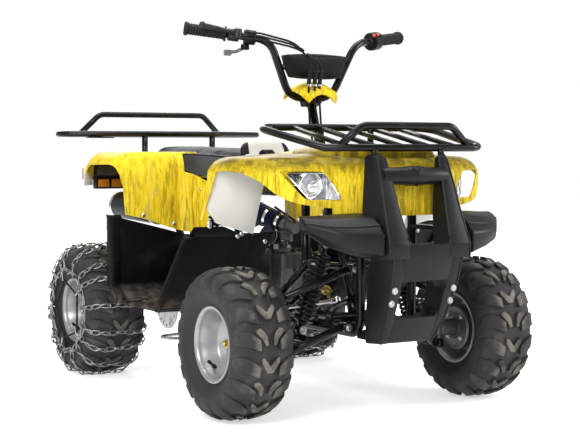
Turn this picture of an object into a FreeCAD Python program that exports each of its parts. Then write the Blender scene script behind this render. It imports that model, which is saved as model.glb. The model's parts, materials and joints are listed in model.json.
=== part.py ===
# Quad bike, youth size: a steel frame with double wishbones in front, a swingarm behind,
# moulded body panels, racks, a horizontal engine and snow chains on the rear wheels.
# Millimetres. +Z is up, the front of the vehicle points to -Y and its right side to -X.
# The origin lies on the ground, in the middle of the overall length and width.
import FreeCAD, Part
import math
import os
import Sketcher
from FreeCAD import Placement, Rotation, Vector

doc = FreeCAD.newDocument("quad_bike")

# Driving dimensions
SIZES = {
    # wheels and axles
    "front_axle_y": -512,
    "rear_axle_y": 458,
    "front_track": 776,
    "rear_track": 746,
    "tyre_radius": 203,
    "front_tyre_width": 170,
    "rear_tyre_width": 188,
    "lug_height": 11,
    "lug_count": 12,
    "lug_width": 21,
    "wheel_facets": 18,
    "rim_radius": 101,
    "front_rim_half": 68,
    "rear_rim_half": 76,
    "rim_sheet": 3.5,
    "rim_flange": 4,
    "bead_step": 8,
    "dish_depth": 78,
    "hub_radius": 30,
    "drum_radius": 64,
    "drum_width": 36,
    "axle_radius": 12.5,
    "spindle_radius": 8.5,
    "pin_clearance": 0.3,
    "chain_wire": 4.6,
    "cross_chains": 10,
    "side_chain_radius": 128,
    # frame
    "frame_tube": 12.5,
    "peg_tube": 9,
    "rail_x": 82,
    "rail_z": 222,
    "top_rail_z": 600,
    "front_post_y": -650,
    "down_tube_y": -365,
    # front suspension and steering
    "kingpin_x": 270,
    "lower_pivot_x": 112,
    "lower_pivot_z": 240,
    "upper_pivot_x": 92,
    "upper_pivot_z": 394,
    "lower_ball_z": "=tyre_radius - 42",
    "upper_ball_z": "=tyre_radius + 110",
    "arm_spread": 105,
    "arm_tube": 11,
    "knuckle_arm": 60,
    "pitman_arm": 45,
    "pitman_half": 20,
    "column_tube": 11,
    "column_foot_y": -482,
    "column_foot_z": 290,
    "column_top_y": -252,
    "column_top_z": 847,
    # handlebar
    "bar_tube": 11.1,
    "grip_radius": 17,
    "grip_length": 118,
    "bar_half_width": 361,
    "bar_end_y": -172,
    "bar_end_z": 1053,
    # racks
    "rack_tube": 10,
    "slat_tube": 7,
    # body panels
    "panel_wall": 4,
    "footwell_half_width": 430,
    "footwell_inner_x": 150,
    "footwell_floor_z": 256,
    "cable_radius": 3,
    # power unit
    "case_width": 190,
    "cylinder_width": 80,
    "fin_width": 116,
    "fin_thickness": 5,
    "fin_count": 6,
    "fin_pitch": 15,
    "sprocket_radius": 21.3,
    "left_cover_radius": 62,
    "right_cover_radius": 70,
    "cap_radius": 24,
    "cap_height": 30,
}
sheet = doc.addObject("Spreadsheet::Sheet", "sizes")
for row, (alias, value) in enumerate(SIZES.items(), start=1):
    sheet.set(f"A{row}", alias)
    sheet.set(f"B{row}", str(value))
    sheet.setAlias(f"B{row}", alias)
doc.recompute()


def size(alias):
    return float(sheet.get(alias))


RIGHT = -1
LEFT = 1
SIDES = {"right": RIGHT, "left": LEFT}
X_AXIS = Vector(1, 0, 0)
Y_AXIS = Vector(0, 1, 0)
Z_AXIS = Vector(0, 0, 1)
nodes = []


# Helpers for bodies with sketches
def new_body(label, placement=None):
    body = doc.addObject("PartDesign::Body", label)
    body.Label = label
    if placement:
        body.Placement = placement
    nodes.append(body)
    return body


def sketch_on(body, role, offset=None):
    sketch = body.newObject("Sketcher::SketchObject", f"{body.Label}_sketch")
    plane = [item for item in body.Origin.OriginFeatures if item.Role == role][0]
    sketch.AttachmentSupport = [(plane, "")]
    sketch.MapMode = "FlatFace"
    if offset:
        sketch.setExpression(".AttachmentOffset.Base.z", offset)
    return sketch


def outline(sketch, points):
    # A closed outline whose corners are bound to the sheet: each point is a pair of expressions.
    count = len(points)
    corners = [Vector(40 * math.cos(math.tau * i / count), 100 + 40 * math.sin(math.tau * i / count), 0)
               for i in range(count)]
    for i in range(count):
        sketch.addGeometry(Part.LineSegment(corners[i], corners[(i + 1) % count]), False)
    for i in range(count):
        sketch.addConstraint(Sketcher.Constraint("Coincident", i, 2, (i + 1) % count, 1))
    for i, (across, up) in enumerate(points):
        for kind, expression in (("DistanceX", across), ("DistanceY", up)):
            index = sketch.addConstraint(Sketcher.Constraint(kind, i, 1, 1.0))
            sketch.setExpression(f"Constraints[{index}]", expression)


def circle(sketch, across, up, radius):
    sketch.addGeometry(Part.Circle(Vector(0, 0, 0), Z_AXIS, 10), False)
    for constraint, expression in (
            (Sketcher.Constraint("DistanceX", 0, 3, 1.0), across),
            (Sketcher.Constraint("DistanceY", 0, 3, 1.0), up),
            (Sketcher.Constraint("Radius", 0, 10.0), radius)):
        index = sketch.addConstraint(constraint)
        sketch.setExpression(f"Constraints[{index}]", expression)


def extruded(body, role, offset, shape, length, kind="PartDesign::Pad"):
    # A pad or a pocket of an outline (a list of corners) or of a circle (a tuple), all bound to the sheet.
    sketch = sketch_on(body, role, offset)
    if isinstance(shape, tuple):
        circle(sketch, *shape)
    else:
        outline(sketch, shape)
    step = body.newObject(kind, f"{body.Label}_step")
    step.Profile = sketch
    step.setExpression("Length", length)
    body.Tip = step
    return step


def rectangle(x0, x1, z0, z1):
    return [(x0, z0), (x1, z0), (x1, z1), (x0, z1)]


# Helpers for shapes made with Part
def feature(label, shape, placement=None):
    node = doc.addObject("Part::Feature", label)
    node.Shape = shape
    node.Label = label
    node.Placement = placement or Placement()
    nodes.append(node)
    return node


def flat_faces(corners):
    # One flat face through the corners, or two triangles where a quad is twisted.
    kept = [point for i, point in enumerate(corners) if point.distanceToPoint(corners[i - 1]) > 1e-5]
    if len(kept) < 3:
        return []
    normal = (kept[1] - kept[0]).cross(kept[2] - kept[0])
    if len(kept) == 4 and abs((kept[3] - kept[0]).dot(normal.normalize())) > 1e-4:
        return flat_faces([kept[0], kept[1], kept[2]]) + flat_faces([kept[0], kept[2], kept[3]])
    return [Part.Face(Part.makePolygon(kept + [kept[0]]))]


def skin(rings, closed=False):
    # A solid of flat faces through rings of corners, capped at both ends or closed in a loop.
    faces = []
    following = rings[1:] + rings[:1] if closed else rings[1:]
    for ring, other in zip(rings, following):
        for i in range(len(ring)):
            faces += flat_faces([ring[i - 1], ring[i], other[i], other[i - 1]])
    if not closed:
        faces += [Part.Face(Part.makePolygon(ring + [ring[0]])) for ring in (rings[0], rings[-1])]
    shell = Part.makeShell(faces)
    shell.sewShape()
    solid = Part.makeSolid(shell)
    return solid if solid.Volume > 0 else solid.reversed()


def rounded_corners(points, bend, step):
    # Replaces each corner of a route by the chords of an arc that touches both runs.
    points = [Vector(*point) for point in points]
    route = [points[0]]
    for before, corner, after in zip(points, points[1:], points[2:]):
        into = (corner - before).normalize()
        out = (after - corner).normalize()
        turn = into.getAngle(out)
        room = 0.48 * min(before.distanceToPoint(corner), corner.distanceToPoint(after))
        cut = min(bend * math.tan(turn / 2), room)
        radius = cut / math.tan(turn / 2)
        centre = corner + (out - into).normalize() * math.hypot(radius, cut)
        axis = into.cross(out)
        start = corner - into * cut - centre
        count = max(1, round(turn / step))
        for i in range(count + 1):
            route.append(centre + Rotation(axis, math.degrees(turn * i / count)).multVec(start))
    route.append(points[-1])
    return route


def tube(points, radius, bend=30, sides=8, step=0.8):
    # A tube with flat sides, mitred at each corner of its route.
    route = rounded_corners(points, bend, step) if bend else [Vector(*point) for point in points]
    runs = [(end - start).normalize() for start, end in zip(route, route[1:])]
    first = Rotation(Z_AXIS, runs[0])
    reach = radius / math.cos(math.pi / sides / 2)
    ring = []
    for i in range(sides):
        angle = math.tau * (i + 0.5) / sides
        ring.append(route[0] + first.multVec(Vector(reach * math.cos(angle), reach * math.sin(angle), 0)))
    rings = [ring]
    for i, run in enumerate(runs):
        normal = run + runs[i + 1] if i + 1 < len(runs) else run
        ring = [point + run * ((route[i + 1] - point).dot(normal) / run.dot(normal)) for point in ring]
        rings.append(ring)
    return skin(rings)


def turned(profile, segments, phase=0.5):
    # A closed profile of (x, radius) corners turned about the X axis in flat segments.
    rings = []
    for i in range(segments):
        angle = math.tau * (i + phase) / segments
        rings.append([Vector(x, r * math.sin(angle), -r * math.cos(angle)) for x, r in profile])
    return skin(rings, closed=True)


def turned_on(profile, segments, foot, along):
    # A profile of (distance, radius) corners turned about an axis that starts at the foot.
    shape = turned(profile, segments)
    shape.Placement = Placement(foot, Rotation(X_AXIS, along))
    return shape


def rod(start, end, radius, sides=8):
    return tube([start, end], radius, 0, sides)


def flat_height(radius, sides=8):
    # From the middle of a flat-sided rod to one of its flats.
    return radius / math.cos(math.pi / sides / 2) * math.cos(math.pi / sides)


def cylinder(start, end, radius):
    # A truly round bar or bore.
    start = Vector(*start)
    span = Vector(*end) - start
    return Part.makeCylinder(radius, span.Length, start, span)


def box(x0, x1, y0, y1, z0, z1):
    return Part.makeBox(x1 - x0, y1 - y0, z1 - z0, Vector(x0, y0, z0))


def box_between(x0, x1, y0, y1, z0, z1):
    return box(min(x0, x1), max(x0, x1), y0, y1, z0, z1)


def closed_wire(points):
    points = [Vector(*point) for point in points]
    return Part.makePolygon(points + [points[0]])


def loft(sections):
    # Flat facets from section to section; the first and the last section are flat.
    return skin([[Vector(*point) for point in section] for section in sections])


def prism(points, direction):
    return Part.Face(closed_wire(points)).extrude(Vector(*direction))


def join(shapes):
    return shapes[0].multiFuse(shapes[1:]).removeSplitter()


def join_in_order(shapes):
    # Tubes that meet tangentially fuse safely one after the other.
    whole = shapes[0]
    for shape in shapes[1:]:
        whole = whole.fuse(shape)
    return whole.removeSplitter()


def both_sides(shape):
    return [shape, shape.mirror(Vector(0, 0, 0), X_AXIS)]


def mirror_x(shape):
    return shape.mirror(Vector(0, 0, 0), X_AXIS)


# Wheels
def wheel_placement(side, track, axle_y):
    turn = Rotation(Z_AXIS, 180 if side == RIGHT else 0)
    return Placement(Vector(side * size(track) / 2, size(axle_y), size("tyre_radius")), turn)


def rolling_forward(place):
    # The tyres are alike on both sides, so the points of the chevrons lead on each of them.
    return Placement(place.Base, Rotation(Z_AXIS, 180))


def around(shape, count):
    return [shape.rotated(Vector(0, 0, 0), X_AXIS, 360 * i / count) for i in range(count)]


def tyre(width, rim_half):
    half = size(width) / 2
    radius = size("tyre_radius")
    tread = radius - size("lug_height")
    bead = size(rim_half) - size("rim_flange") - size("pin_clearance")
    bore_radius = size("rim_radius") - size("bead_step") + size("pin_clearance")
    section = [(bead, bore_radius), (bead, size("rim_radius") + 6), (half, size("rim_radius") + 42),
               (half - 26, tread)]
    section += [(-x, r) for x, r in reversed(section)]
    carcass = turned(section, int(size("wheel_facets")))

    # Each pitch has a chevron whose flat top lies on the rolling radius, and a block on each shoulder.
    lug = size("lug_width")
    reach = half - 30
    sunk = radius - size("lug_height") - 8
    chevron = [(0, -lug * 0.8), (reach, 2), (reach, 2 + lug), (0, lug * 0.2), (-reach, 2 + lug), (-reach, 2)]
    lugs = [prism([(x, y, -radius) for x, y in chevron], (0, 0, radius - sunk))]
    for hand in (1, -1):
        lead, trail = -lug, 0
        corners = ((half - 28, radius - 5, sunk), (half + 1, radius - 20, sunk - 36))
        base = [Vector(hand * x, y, -low) for x, y, low in (
            (corners[0][0], lead, corners[0][2]), (corners[0][0], trail, corners[0][2]),
            (corners[1][0] - 18, trail, corners[1][2]), (corners[1][0] - 18, lead, corners[1][2]))]
        top = [Vector(hand * x, y, -high) for x, y, high in (
            (corners[0][0], lead, corners[0][1]), (corners[0][0], trail, corners[0][1]),
            (corners[1][0], trail, corners[1][1]), (corners[1][0], lead, corners[1][1]))]
        lugs.append(skin([base, top]))
    count = int(size("lug_count"))
    return join([carcass] + [copy for lug_shape in lugs for copy in around(lug_shape, count)])


def rim(rim_half):
    # A pressed steel rim, deep-dished toward its +X side.
    half = size(rim_half)
    flange = half - size("rim_flange")
    edge = size("rim_radius")
    bead = edge - size("bead_step")
    inside = bead - size("rim_sheet")
    disc = half - size("dish_depth")
    back = disc - size("rim_sheet")
    section = [(half, edge), (flange, edge), (flange, bead), (-flange, bead), (-flange, edge), (-half, edge),
               (-half, inside), (back, inside), (back, size("hub_radius")), (disc, size("hub_radius")),
               (disc + 16, inside - 10), (half, inside)]
    return turned(section, int(size("wheel_facets")))


def front_hub():
    # The hub and brake drum behind the disc of the rim, and its nose in front of it.
    disc = size("front_rim_half") - size("dish_depth")
    back = disc - size("rim_sheet") - size("pin_clearance")
    shaft = size("spindle_radius") + size("pin_clearance")
    neck = size("hub_radius") - 1.5
    section = [(disc + 26, shaft), (disc + 26, size("hub_radius") - 14), (disc + 6, neck), (back, neck),
               (back, size("drum_radius")), (back - size("drum_width"), size("drum_radius")),
               (back - size("drum_width"), shaft)]
    return turned(section, 12)


front_tyre = tyre("front_tyre_width", "front_rim_half")
rear_tyre = tyre("rear_tyre_width", "rear_rim_half")
for name, side in SIDES.items():
    place = wheel_placement(side, "front_track", "front_axle_y")
    feature(f"tyre_front_{name}", front_tyre, rolling_forward(place))
    feature(f"rim_front_{name}", rim("front_rim_half"), place)
    feature(f"hub_front_{name}", front_hub(), place)
    place = wheel_placement(side, "rear_track", "rear_axle_y")
    feature(f"tyre_rear_{name}", rear_tyre, rolling_forward(place))
    feature(f"rim_rear_{name}", rim("rear_rim_half"), place)


def snow_chain():
    # Two side chains joined by cross chains that zigzag over the tread.
    wire = size("chain_wire")
    radius = size("tyre_radius")
    half = size("rear_tyre_width") / 2
    crown = radius + wire * 0.54 + 2 * size("pin_clearance")
    side_x = half + wire * 0.54 + 2
    side_radius = size("side_chain_radius")
    count = int(size("cross_chains"))
    profile = [(-side_x, side_radius), (-side_x, radius - 15), (-half + 12, crown), (0, crown),
               (half - 12, crown), (side_x, radius - 15), (side_x, side_radius)]
    middle = math.pi / count
    route = []
    for i, (across, height) in enumerate(profile):
        angle = middle + (0.025 if i % 2 else -0.025)
        route.append((across, height * math.sin(angle), -height * math.cos(angle)))
    cross_chain = tube(route, wire / 2, 0, sides=4)
    rings = []
    for x in (-side_x, side_x):
        low, high = side_radius - wire / 2, side_radius + wire / 2
        section = [(x - wire / 2, low), (x + wire / 2, low), (x + wire / 2, high), (x - wire / 2, high)]
        rings.append(turned(section, count))
    return join(rings + around(cross_chain, count))


fitted_chain = snow_chain()
for name, side in SIDES.items():
    feature(f"snow_chain_{name}", fitted_chain, wheel_placement(side, "rear_track", "rear_axle_y"))


def disc_at(x0, x1, y, z, radius, sides):
    return tube([(x0, y, z), (x1, y, z)], radius, 0, sides)


# Rear axle with hubs, brake disc and sprocket
def rear_axle():
    disc = size("rear_track") / 2 + size("rear_rim_half") - size("dish_depth")
    hub_back = disc - size("rim_sheet") - size("pin_clearance")
    neck = size("hub_radius") - 1.5
    shaft = size("axle_radius")
    half = [(hub_back - 45, shaft), (hub_back - 45, 34), (hub_back, 34), (hub_back, neck), (disc + 8, neck),
            (disc + 24, shaft), (disc + 24, 0)]
    centre = Vector(0, size("rear_axle_y"), size("tyre_radius"))
    shaft_body = turned_on([(-x, r) for x, r in reversed(half)] + half, 10, centre, X_AXIS)
    flanges = [disc_at(118, 123, centre.y, centre.z, 75.2, 16), disc_at(108, 133, centre.y, centre.z, 24, 10)]
    flanges += [disc_at(-124, -120, centre.y, centre.z, 80, 14),
                disc_at(-134, -108, centre.y, centre.z, 24, 10)]
    return join([shaft_body] + flanges)


feature("rear_axle", rear_axle())


# Frame
def frame():
    r = size("frame_tube")
    x = size("rail_x")
    low = size("rail_z")
    top = size("top_rail_z")
    front = size("front_post_y")
    down = size("down_tube_y")
    pieces = []
    for side in SIDES.values():
        sx = side * x
        pieces.append(tube([(sx, down, top), (sx, front, top), (sx, front, low), (sx, 236, low),
                            (sx, 330, 430), (sx, 470, 620)], r, 45))
        pieces.append(tube([(sx, down - 30, top), (sx, -180, 590), (sx, 90, 590), (sx, 330, 612),
                            (sx, 630, 635)], r, 60))
        pieces.append(rod((sx, down, low), (sx, down, top), r))
        upper = side * (size("upper_pivot_x") - 23)
        pieces.append(rod((upper, front, size("upper_pivot_z")), (upper, down, size("upper_pivot_z")), r - 3))
        for pivot_x, pivot_z in (("lower_pivot_x", "lower_pivot_z"), ("upper_pivot_x", "upper_pivot_z")):
            for end in (1, -1):
                for gap in (1, -1):
                    lug_y = size("front_axle_y") + end * size("arm_spread") + gap * 21
                    outer = side * (size(pivot_x) + 6)
                    inner = side * min(x - 4, size(pivot_x) - 24)
                    z = size(pivot_z)
                    pieces.append(box(min(inner, outer), max(inner, outer), lug_y - 2, lug_y + 2,
                                      z - 12, z + 12))
    for y, z in ((front, top), (front, low), (down, low), (-20, low), (236, low), (330, 612),
                 (90, 590), (630, 635)):
        pieces.append(rod((-x, y, z), (x, y, z), r - 2.5))
    pieces.append(rod((-127, 617, 635), (127, 617, 635), r - 3))
    pieces.extend(column_bearings())
    pieces.append(cylinder((-78, 268, 262), (78, 268, 262), 8))
    for side in SIDES.values():
        pieces += frame_brackets(side)
        corners = ((215, 225), (262, 225), (292, 262), (288, 310), (235, 270))
        plate = prism([(side * 72, y, z) for y, z in corners], (side * -4, 0, 0))
        pieces.append(plate)
    return join_in_order(pieces)


def frame_brackets(side):
    # The seats of the engine, covers, racks, bumper, footwells and front shocks.
    x = size("rail_x")
    clear = size("pin_clearance")
    down = size("front_post_y")
    pieces = []
    for y in (30, 130):
        pieces.append(box_between(side * (x - 10), side * (x + 10), y, y + 24, size("rail_z"), 240 - clear))
    pieces.append(box_between(side * (x - 9), side * (x + 9), -170, -150, 590, 630 - clear))
    pieces.append(box_between(side * 115, side * 139, 605, 629, 628, 645))
    pieces.append(box_between(side * (x - 10), side * (x + 18), -758.9, down, 500, 512))
    pieces.append(box_between(side * (x - 20), side * (x + 12), -705 + clear, down, 212, 228))
    peg = size("peg_tube")
    peg_z = size("footwell_floor_z") - clear - flat_height(peg)
    for y in (-40, 100):
        pieces.append(tube([(side * x, y, size("rail_z")), (side * 142, y, size("rail_z")),
                            (side * 172, y, peg_z), (side * 395, y, peg_z)], peg, 0))
    y = size("front_axle_y")
    seat_z = 455 + flat_height(15) + clear
    plan = [(x - 2, 600), (x + 12, 600), (124, seat_z + 10), (124, seat_z), (100, seat_z), (x - 2, 560)]
    pieces.append(prism([(side * a, y - 12, b) for a, b in plan], (0, 24, 0)))
    return pieces


def column_axis():
    foot = Vector(0, size("column_foot_y"), size("column_foot_z"))
    head = Vector(0, size("column_top_y"), size("column_top_z"))
    return foot, (head - foot).normalize()


def column_bearings():
    # A cup under the foot of the column and a clamp at the upper cross tube.
    foot, along = column_axis()
    bore = size("column_tube") + size("pin_clearance")
    cup = rod(foot - along * 28, foot, 18)
    hole = Part.makeCylinder(bore, 30, foot - along * 24, along)
    cup = cup.cut(hole)
    x = size("rail_x")
    beam = box(-x, x, foot.y - 26, foot.y + 4, foot.z - 36, foot.z - 28)
    for side in SIDES.values():
        post = box(side * x - 4, side * x + 4, foot.y - 26, foot.y + 4, size("rail_z"), foot.z - 28)
        beam = beam.fuse(post)
    clamp_at = foot + along * ((size("top_rail_z") + 14 - foot.z) / along.z)
    clamp = rod(clamp_at - along * 17, clamp_at + along * 17, 20)
    bridge = box(-x, x, clamp_at.y - 14, clamp_at.y + 14, size("top_rail_z") - 6, size("top_rail_z") + 12)
    bored = Part.makeCylinder(bore, 120, clamp_at - along * 60, along)
    return [cup.fuse(beam.cut(hole)),
            clamp.fuse(bridge).cut(bored)]


feature("frame", frame())


# Front suspension
def wishbone(side, pivot_x, pivot_z, ball_z):
    y = size("front_axle_y")
    spread = size("arm_spread")
    pivot = size(pivot_x)
    pivot_height = size(pivot_z)
    ball_x = side * (size("kingpin_x") - 4)
    ball_height = size(ball_z)
    pieces = []
    for end in (1, -1):
        bush_y = y + end * spread
        pieces.append(rod((side * pivot, bush_y - 17.5, pivot_height),
                          (side * pivot, bush_y + 17.5, pivot_height), size("arm_tube") + 1))
        pieces.append(rod((side * pivot, bush_y, pivot_height), (ball_x, y + end * 6, ball_height),
                          size("arm_tube") if pivot_z == "lower_pivot_z" else size("arm_tube") - 1, 6))
    ball = Vector(side * size("kingpin_x"), y, ball_height)
    pieces.append(rod(ball - Z_AXIS * 11, ball + Z_AXIS * 11, 16))
    arm = join(pieces)
    for level in (11, -51):
        arm = arm.cut(box(ball.x - 30, ball.x + 30, y - 30, y + 30, ball.z + level, ball.z + level + 40))
    return arm


def shock_foot_z():
    span = size("kingpin_x") - size("lower_pivot_x")
    share = (185 - size("lower_pivot_x")) / span
    return size("lower_pivot_z") + share * (size("lower_ball_z") - size("lower_pivot_z"))


def wishbones(side):
    lower = wishbone(side, "lower_pivot_x", "lower_pivot_z", "lower_ball_z")
    y = size("front_axle_y")
    z = shock_foot_z()
    span = size("arm_spread") * (size("kingpin_x") - 185) / (size("kingpin_x") - size("lower_pivot_x"))
    bridge = rod((side * 185, y - span, z), (side * 185, y + span, z), 9)
    lower = join([lower, bridge])
    upper = wishbone(side, "upper_pivot_x", "upper_pivot_z", "upper_ball_z")
    return Part.makeCompound([lower, upper])


feature("wishbones_right", wishbones(RIGHT))
feature("wishbones_left", wishbones(LEFT))


def shock(foot, head, radius, coils):
    # A coil-over: eyes at both ends, a damper body and a spring drawn as stacked rings.
    along = (head - foot).normalize()
    length = foot.distanceToPoint(head)
    start, end = 34, length - 30
    pitch = (end - start) / coils
    section = [(6, 0), (6, 14), (28, 14), (start - 4, radius)]
    for i in range(coils):
        base = start + i * pitch
        section += [(base + pitch * 0.25, radius), (base + pitch * 0.75, radius - 8)]
    section += [(end, radius), (end + 6, radius), (end + 10, 8), (length - 8, 8), (length - 8, 0)]
    eyes = [disc_y(end_point, 22, 15) for end_point in (foot, head)]
    return join([turned_on(section, 8, foot, along)] + eyes)


def disc_y(centre, width, radius):
    half = Vector(0, width / 2, 0)
    return tube([centre - half, centre + half], radius, 0, 8)


def front_shock(side):
    y = size("front_axle_y")
    foot = Vector(side * 185, y, shock_foot_z() + flat_height(9) + size("pin_clearance") + flat_height(15))
    return shock(foot, Vector(side * 112, y, 455), 22, 5)


feature("front_shocks", Part.makeCompound([front_shock(RIGHT), front_shock(LEFT)]))


def knuckle(side):
    # Kingpin post between the ball joints, spindle, brake backing plate and steering arm.
    x = side * size("kingpin_x")
    y = size("front_axle_y")
    z = size("tyre_radius")
    foot = size("lower_ball_z") + 11.3
    head = size("upper_ball_z") - 11.3
    disc = side * (size("front_track") / 2 + size("front_rim_half") - size("dish_depth"))
    plate_x = disc - side * (size("rim_sheet") + size("pin_clearance") + size("drum_width") + 5.5)
    pieces = [
        rod((x, y, foot), (x, y, head), 13),
        rod((x, y, z), (plate_x - side * 4, y, z), 22),
        disc_at(plate_x - side * 4, plate_x, y, z, size("drum_radius") - 1, 12),
        rod((plate_x - side * 10, y, z), (disc + side * 24, y, z), size("spindle_radius") - 0.4),
    ]
    arm_z = size("column_foot_z") - 26
    arm_end = (x, y + size("knuckle_arm"), arm_z)
    pieces.append(rod((x, y, arm_z - 5), (x, y + size("knuckle_arm"), arm_z - 5), 6))
    pieces.append(rod((arm_end[0], arm_end[1], arm_z - 11), (arm_end[0], arm_end[1], arm_z), 12))
    return join(pieces)


feature("knuckle_right", knuckle(RIGHT))
feature("knuckle_left", knuckle(LEFT))


# Steering
def steering_column():
    foot, along = column_axis()
    across = along.cross(X_AXIS)
    length = (Vector(0, size("column_top_y"), size("column_top_z")) - foot).Length
    tube_body = rod(foot - along * 20, foot + along * length, size("column_tube") - 0.2, 10)
    arm = size("pitman_arm")
    half = size("pitman_half")
    plate_points = [foot + along * 4 + X_AXIS * a + across * b for a, b in (
        (-14, -14), (14, -14), (half + 13, arm + 12), (-half - 13, arm + 12))]
    plate = prism(plate_points, along * 6)
    head = Part.makeBox(56, 34, 44, Vector(-28, -17, -22))
    head.Placement = Placement(bar_middle(), Rotation(Z_AXIS, along))
    seat_bore = rod((-60, bar_middle().y, bar_middle().z), (60, bar_middle().y, bar_middle().z),
                    size("bar_tube") + 1)
    post = rod((0, bar_middle().y, bar_middle().z), (0, bar_middle().y, 901.3), 9)
    return join([tube_body, plate, head]).cut(seat_bore).fuse(post.cut(seat_bore))


def bar_middle():
    # The handlebar lies across the top of the column.
    return Vector(0, size("column_top_y"), size("column_top_z") + 14)


def pitman_pin(side):
    foot, along = column_axis()
    across = along.cross(X_AXIS)
    return foot + X_AXIS * (side * size("pitman_half")) + across * size("pitman_arm")


feature("steering_column", steering_column())


def tie_rod(side):
    foot, along = column_axis()
    pin = pitman_pin(side)
    arm_z = size("column_foot_z") - 26
    inner = pin + along * (10.3 + 9)
    outer = Vector(side * size("kingpin_x"), size("front_axle_y") + size("knuckle_arm"), arm_z + 3.3 + 9)
    pieces = [rod(inner - along * 9, inner + along * 9, 11), rod(outer - Z_AXIS * 9, outer + Z_AXIS * 9, 11),
              rod(inner, outer, 6)]
    return join(pieces)


feature("tie_rod_right", tie_rod(RIGHT))
feature("tie_rod_left", tie_rod(LEFT))


def handlebar():
    r = size("bar_tube")
    end_x = size("bar_half_width")
    low_y = bar_middle().y
    low_z = bar_middle().z
    points = []
    for side in (RIGHT, LEFT):
        half = [(side * end_x, size("bar_end_y"), size("bar_end_z")), (side * 143, -270, 1022),
                (side * 70, low_y, low_z)]
        points.extend(half if side == RIGHT else reversed(half))
    bar = tube(points, r, 45)
    cross_z = 948
    share = (cross_z - low_z) / (1022 - low_z)
    cross_x = 70 + share * 73
    cross_y = low_y + share * (-270 - low_y)
    cross = rod((-cross_x, cross_y, cross_z), (cross_x, cross_y, cross_z), 8)
    return join([bar, cross])


feature("handlebar", handlebar())


def handlebar_pad():
    # A padded roll on the cross bar.
    share = (948 - bar_middle().z) / (1022 - bar_middle().z)
    cross_y = bar_middle().y + share * (-270 - bar_middle().y)
    body = new_body("handlebar_pad")
    extruded(body, "XZ_Plane", "254", [("-77", "912"), ("77", "912"), ("107", "982"), ("-107", "982")], "46")
    hole = (f"{cross_y}", "948", "8.3")
    extruded(body, "YZ_Plane", "-150", hole, "300", "PartDesign::Pocket").Reversed = True


handlebar_pad()


def bar_hole(side):
    # The hole of what is clamped on the bar: a little larger than the tube.
    end, inward = on_bar(side, 0)
    return rod(end - inward * 20, end + inward * 235, size("bar_tube") + 1)


def on_bar(side, distance):
    end = Vector(side * size("bar_half_width"), size("bar_end_y"), size("bar_end_z"))
    inward = (Vector(side * 143, -270, 1022) - end).normalize()
    return end + inward * distance, inward


def grips():
    pieces = []
    for side in SIDES.values():
        end, inward = on_bar(side, 0)
        length = size("grip_length")
        grip = rod(end - inward * 3, end + inward * (length - 3), size("grip_radius"), 10)
        flange = rod(end + inward * (length - 8), end + inward * (length - 3), size("grip_radius") + 5, 10)
        knob = rod(end - inward * 3, end + inward * 5, size("grip_radius") + 3, 10)
        pieces.append(join([grip, flange, knob]).cut(bar_hole(side)))
    return Part.makeCompound(pieces)


feature("grips", grips())


def ball(centre, radius):
    # A ball drawn as a turned piece of flat facets.
    profile = [(-radius, 0), (-radius * 0.6, radius * 0.8), (radius * 0.6, radius * 0.8), (radius, 0)]
    return turned_on(profile, 8, centre, X_AXIS)


def brake_lever():
    # Perch on the right bar, a lever blade with a ball end in front of the grip.
    start, inward = on_bar(RIGHT, size("grip_length") + 2)
    perch = rod(start, start + inward * 32, 17)
    forward = Vector(0, -1, 0.1).normalize()
    pivot = start + inward * 14 + forward * 30
    block = rod(pivot - Z_AXIS * 11, pivot + Z_AXIS * 11, 12)
    neck = rod(start + inward * 14 + forward * 8, pivot, 9)
    tip = start - inward * 96 + forward * 52 + Vector(0, 0, 6)
    middle = start - inward * 20 + forward * 42
    blade = tube([pivot, middle, tip], 6, 0)
    return join([perch, block, neck, blade, ball(tip, 9)]).cut(bar_hole(RIGHT))


feature("brake_lever", brake_lever())


def throttle():
    # Thumb throttle housing inboard of the brake perch, with its paddle under the bar.
    start, inward = on_bar(RIGHT, size("grip_length") + 48)
    body = rod(start, start + inward * 34, 20)
    pivot = start + inward * 8 + Vector(0, 10, -28)
    stem = rod(start + inward * 12 + Vector(0, 4, -8), pivot, 9)
    paddle = tube([pivot, pivot + Vector(-20, 12, -12), pivot + Vector(-46, 16, -16)], 6, 0)
    return join([body, stem, paddle]).cut(bar_hole(RIGHT))


feature("throttle", throttle())


def switch_pod():
    start, inward = on_bar(LEFT, size("grip_length") + 2)
    return rod(start, start + inward * 40, 27).cut(bar_hole(LEFT))


feature("switch_pod", switch_pod())


CABLE_HOLES = ((-38, -308), (-20, -310), (-2, -308))


def handlebar_cover():
    # A curved shield over the clamp, lower at its front edge and drawn out at the sides.
    sections = []
    for y, z, half in ((-320, 876, 42), (-292, 902, 58), (-235, 908, 60), (-195, 884, 50)):
        top = [(-half, y, z - 16), (-half * 0.5, y, z), (half * 0.5, y, z), (half, y, z - 16)]
        bottom = [(a, b, c - 4) for a, b, c in reversed(top)]
        sections.append(top + bottom)
    cover = loft(sections)
    for x, y in CABLE_HOLES:
        cover = cover.cut(rod((x, y, 860), (x, y, 930), size("cable_radius") + 0.8, 6))
    return cover


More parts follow.
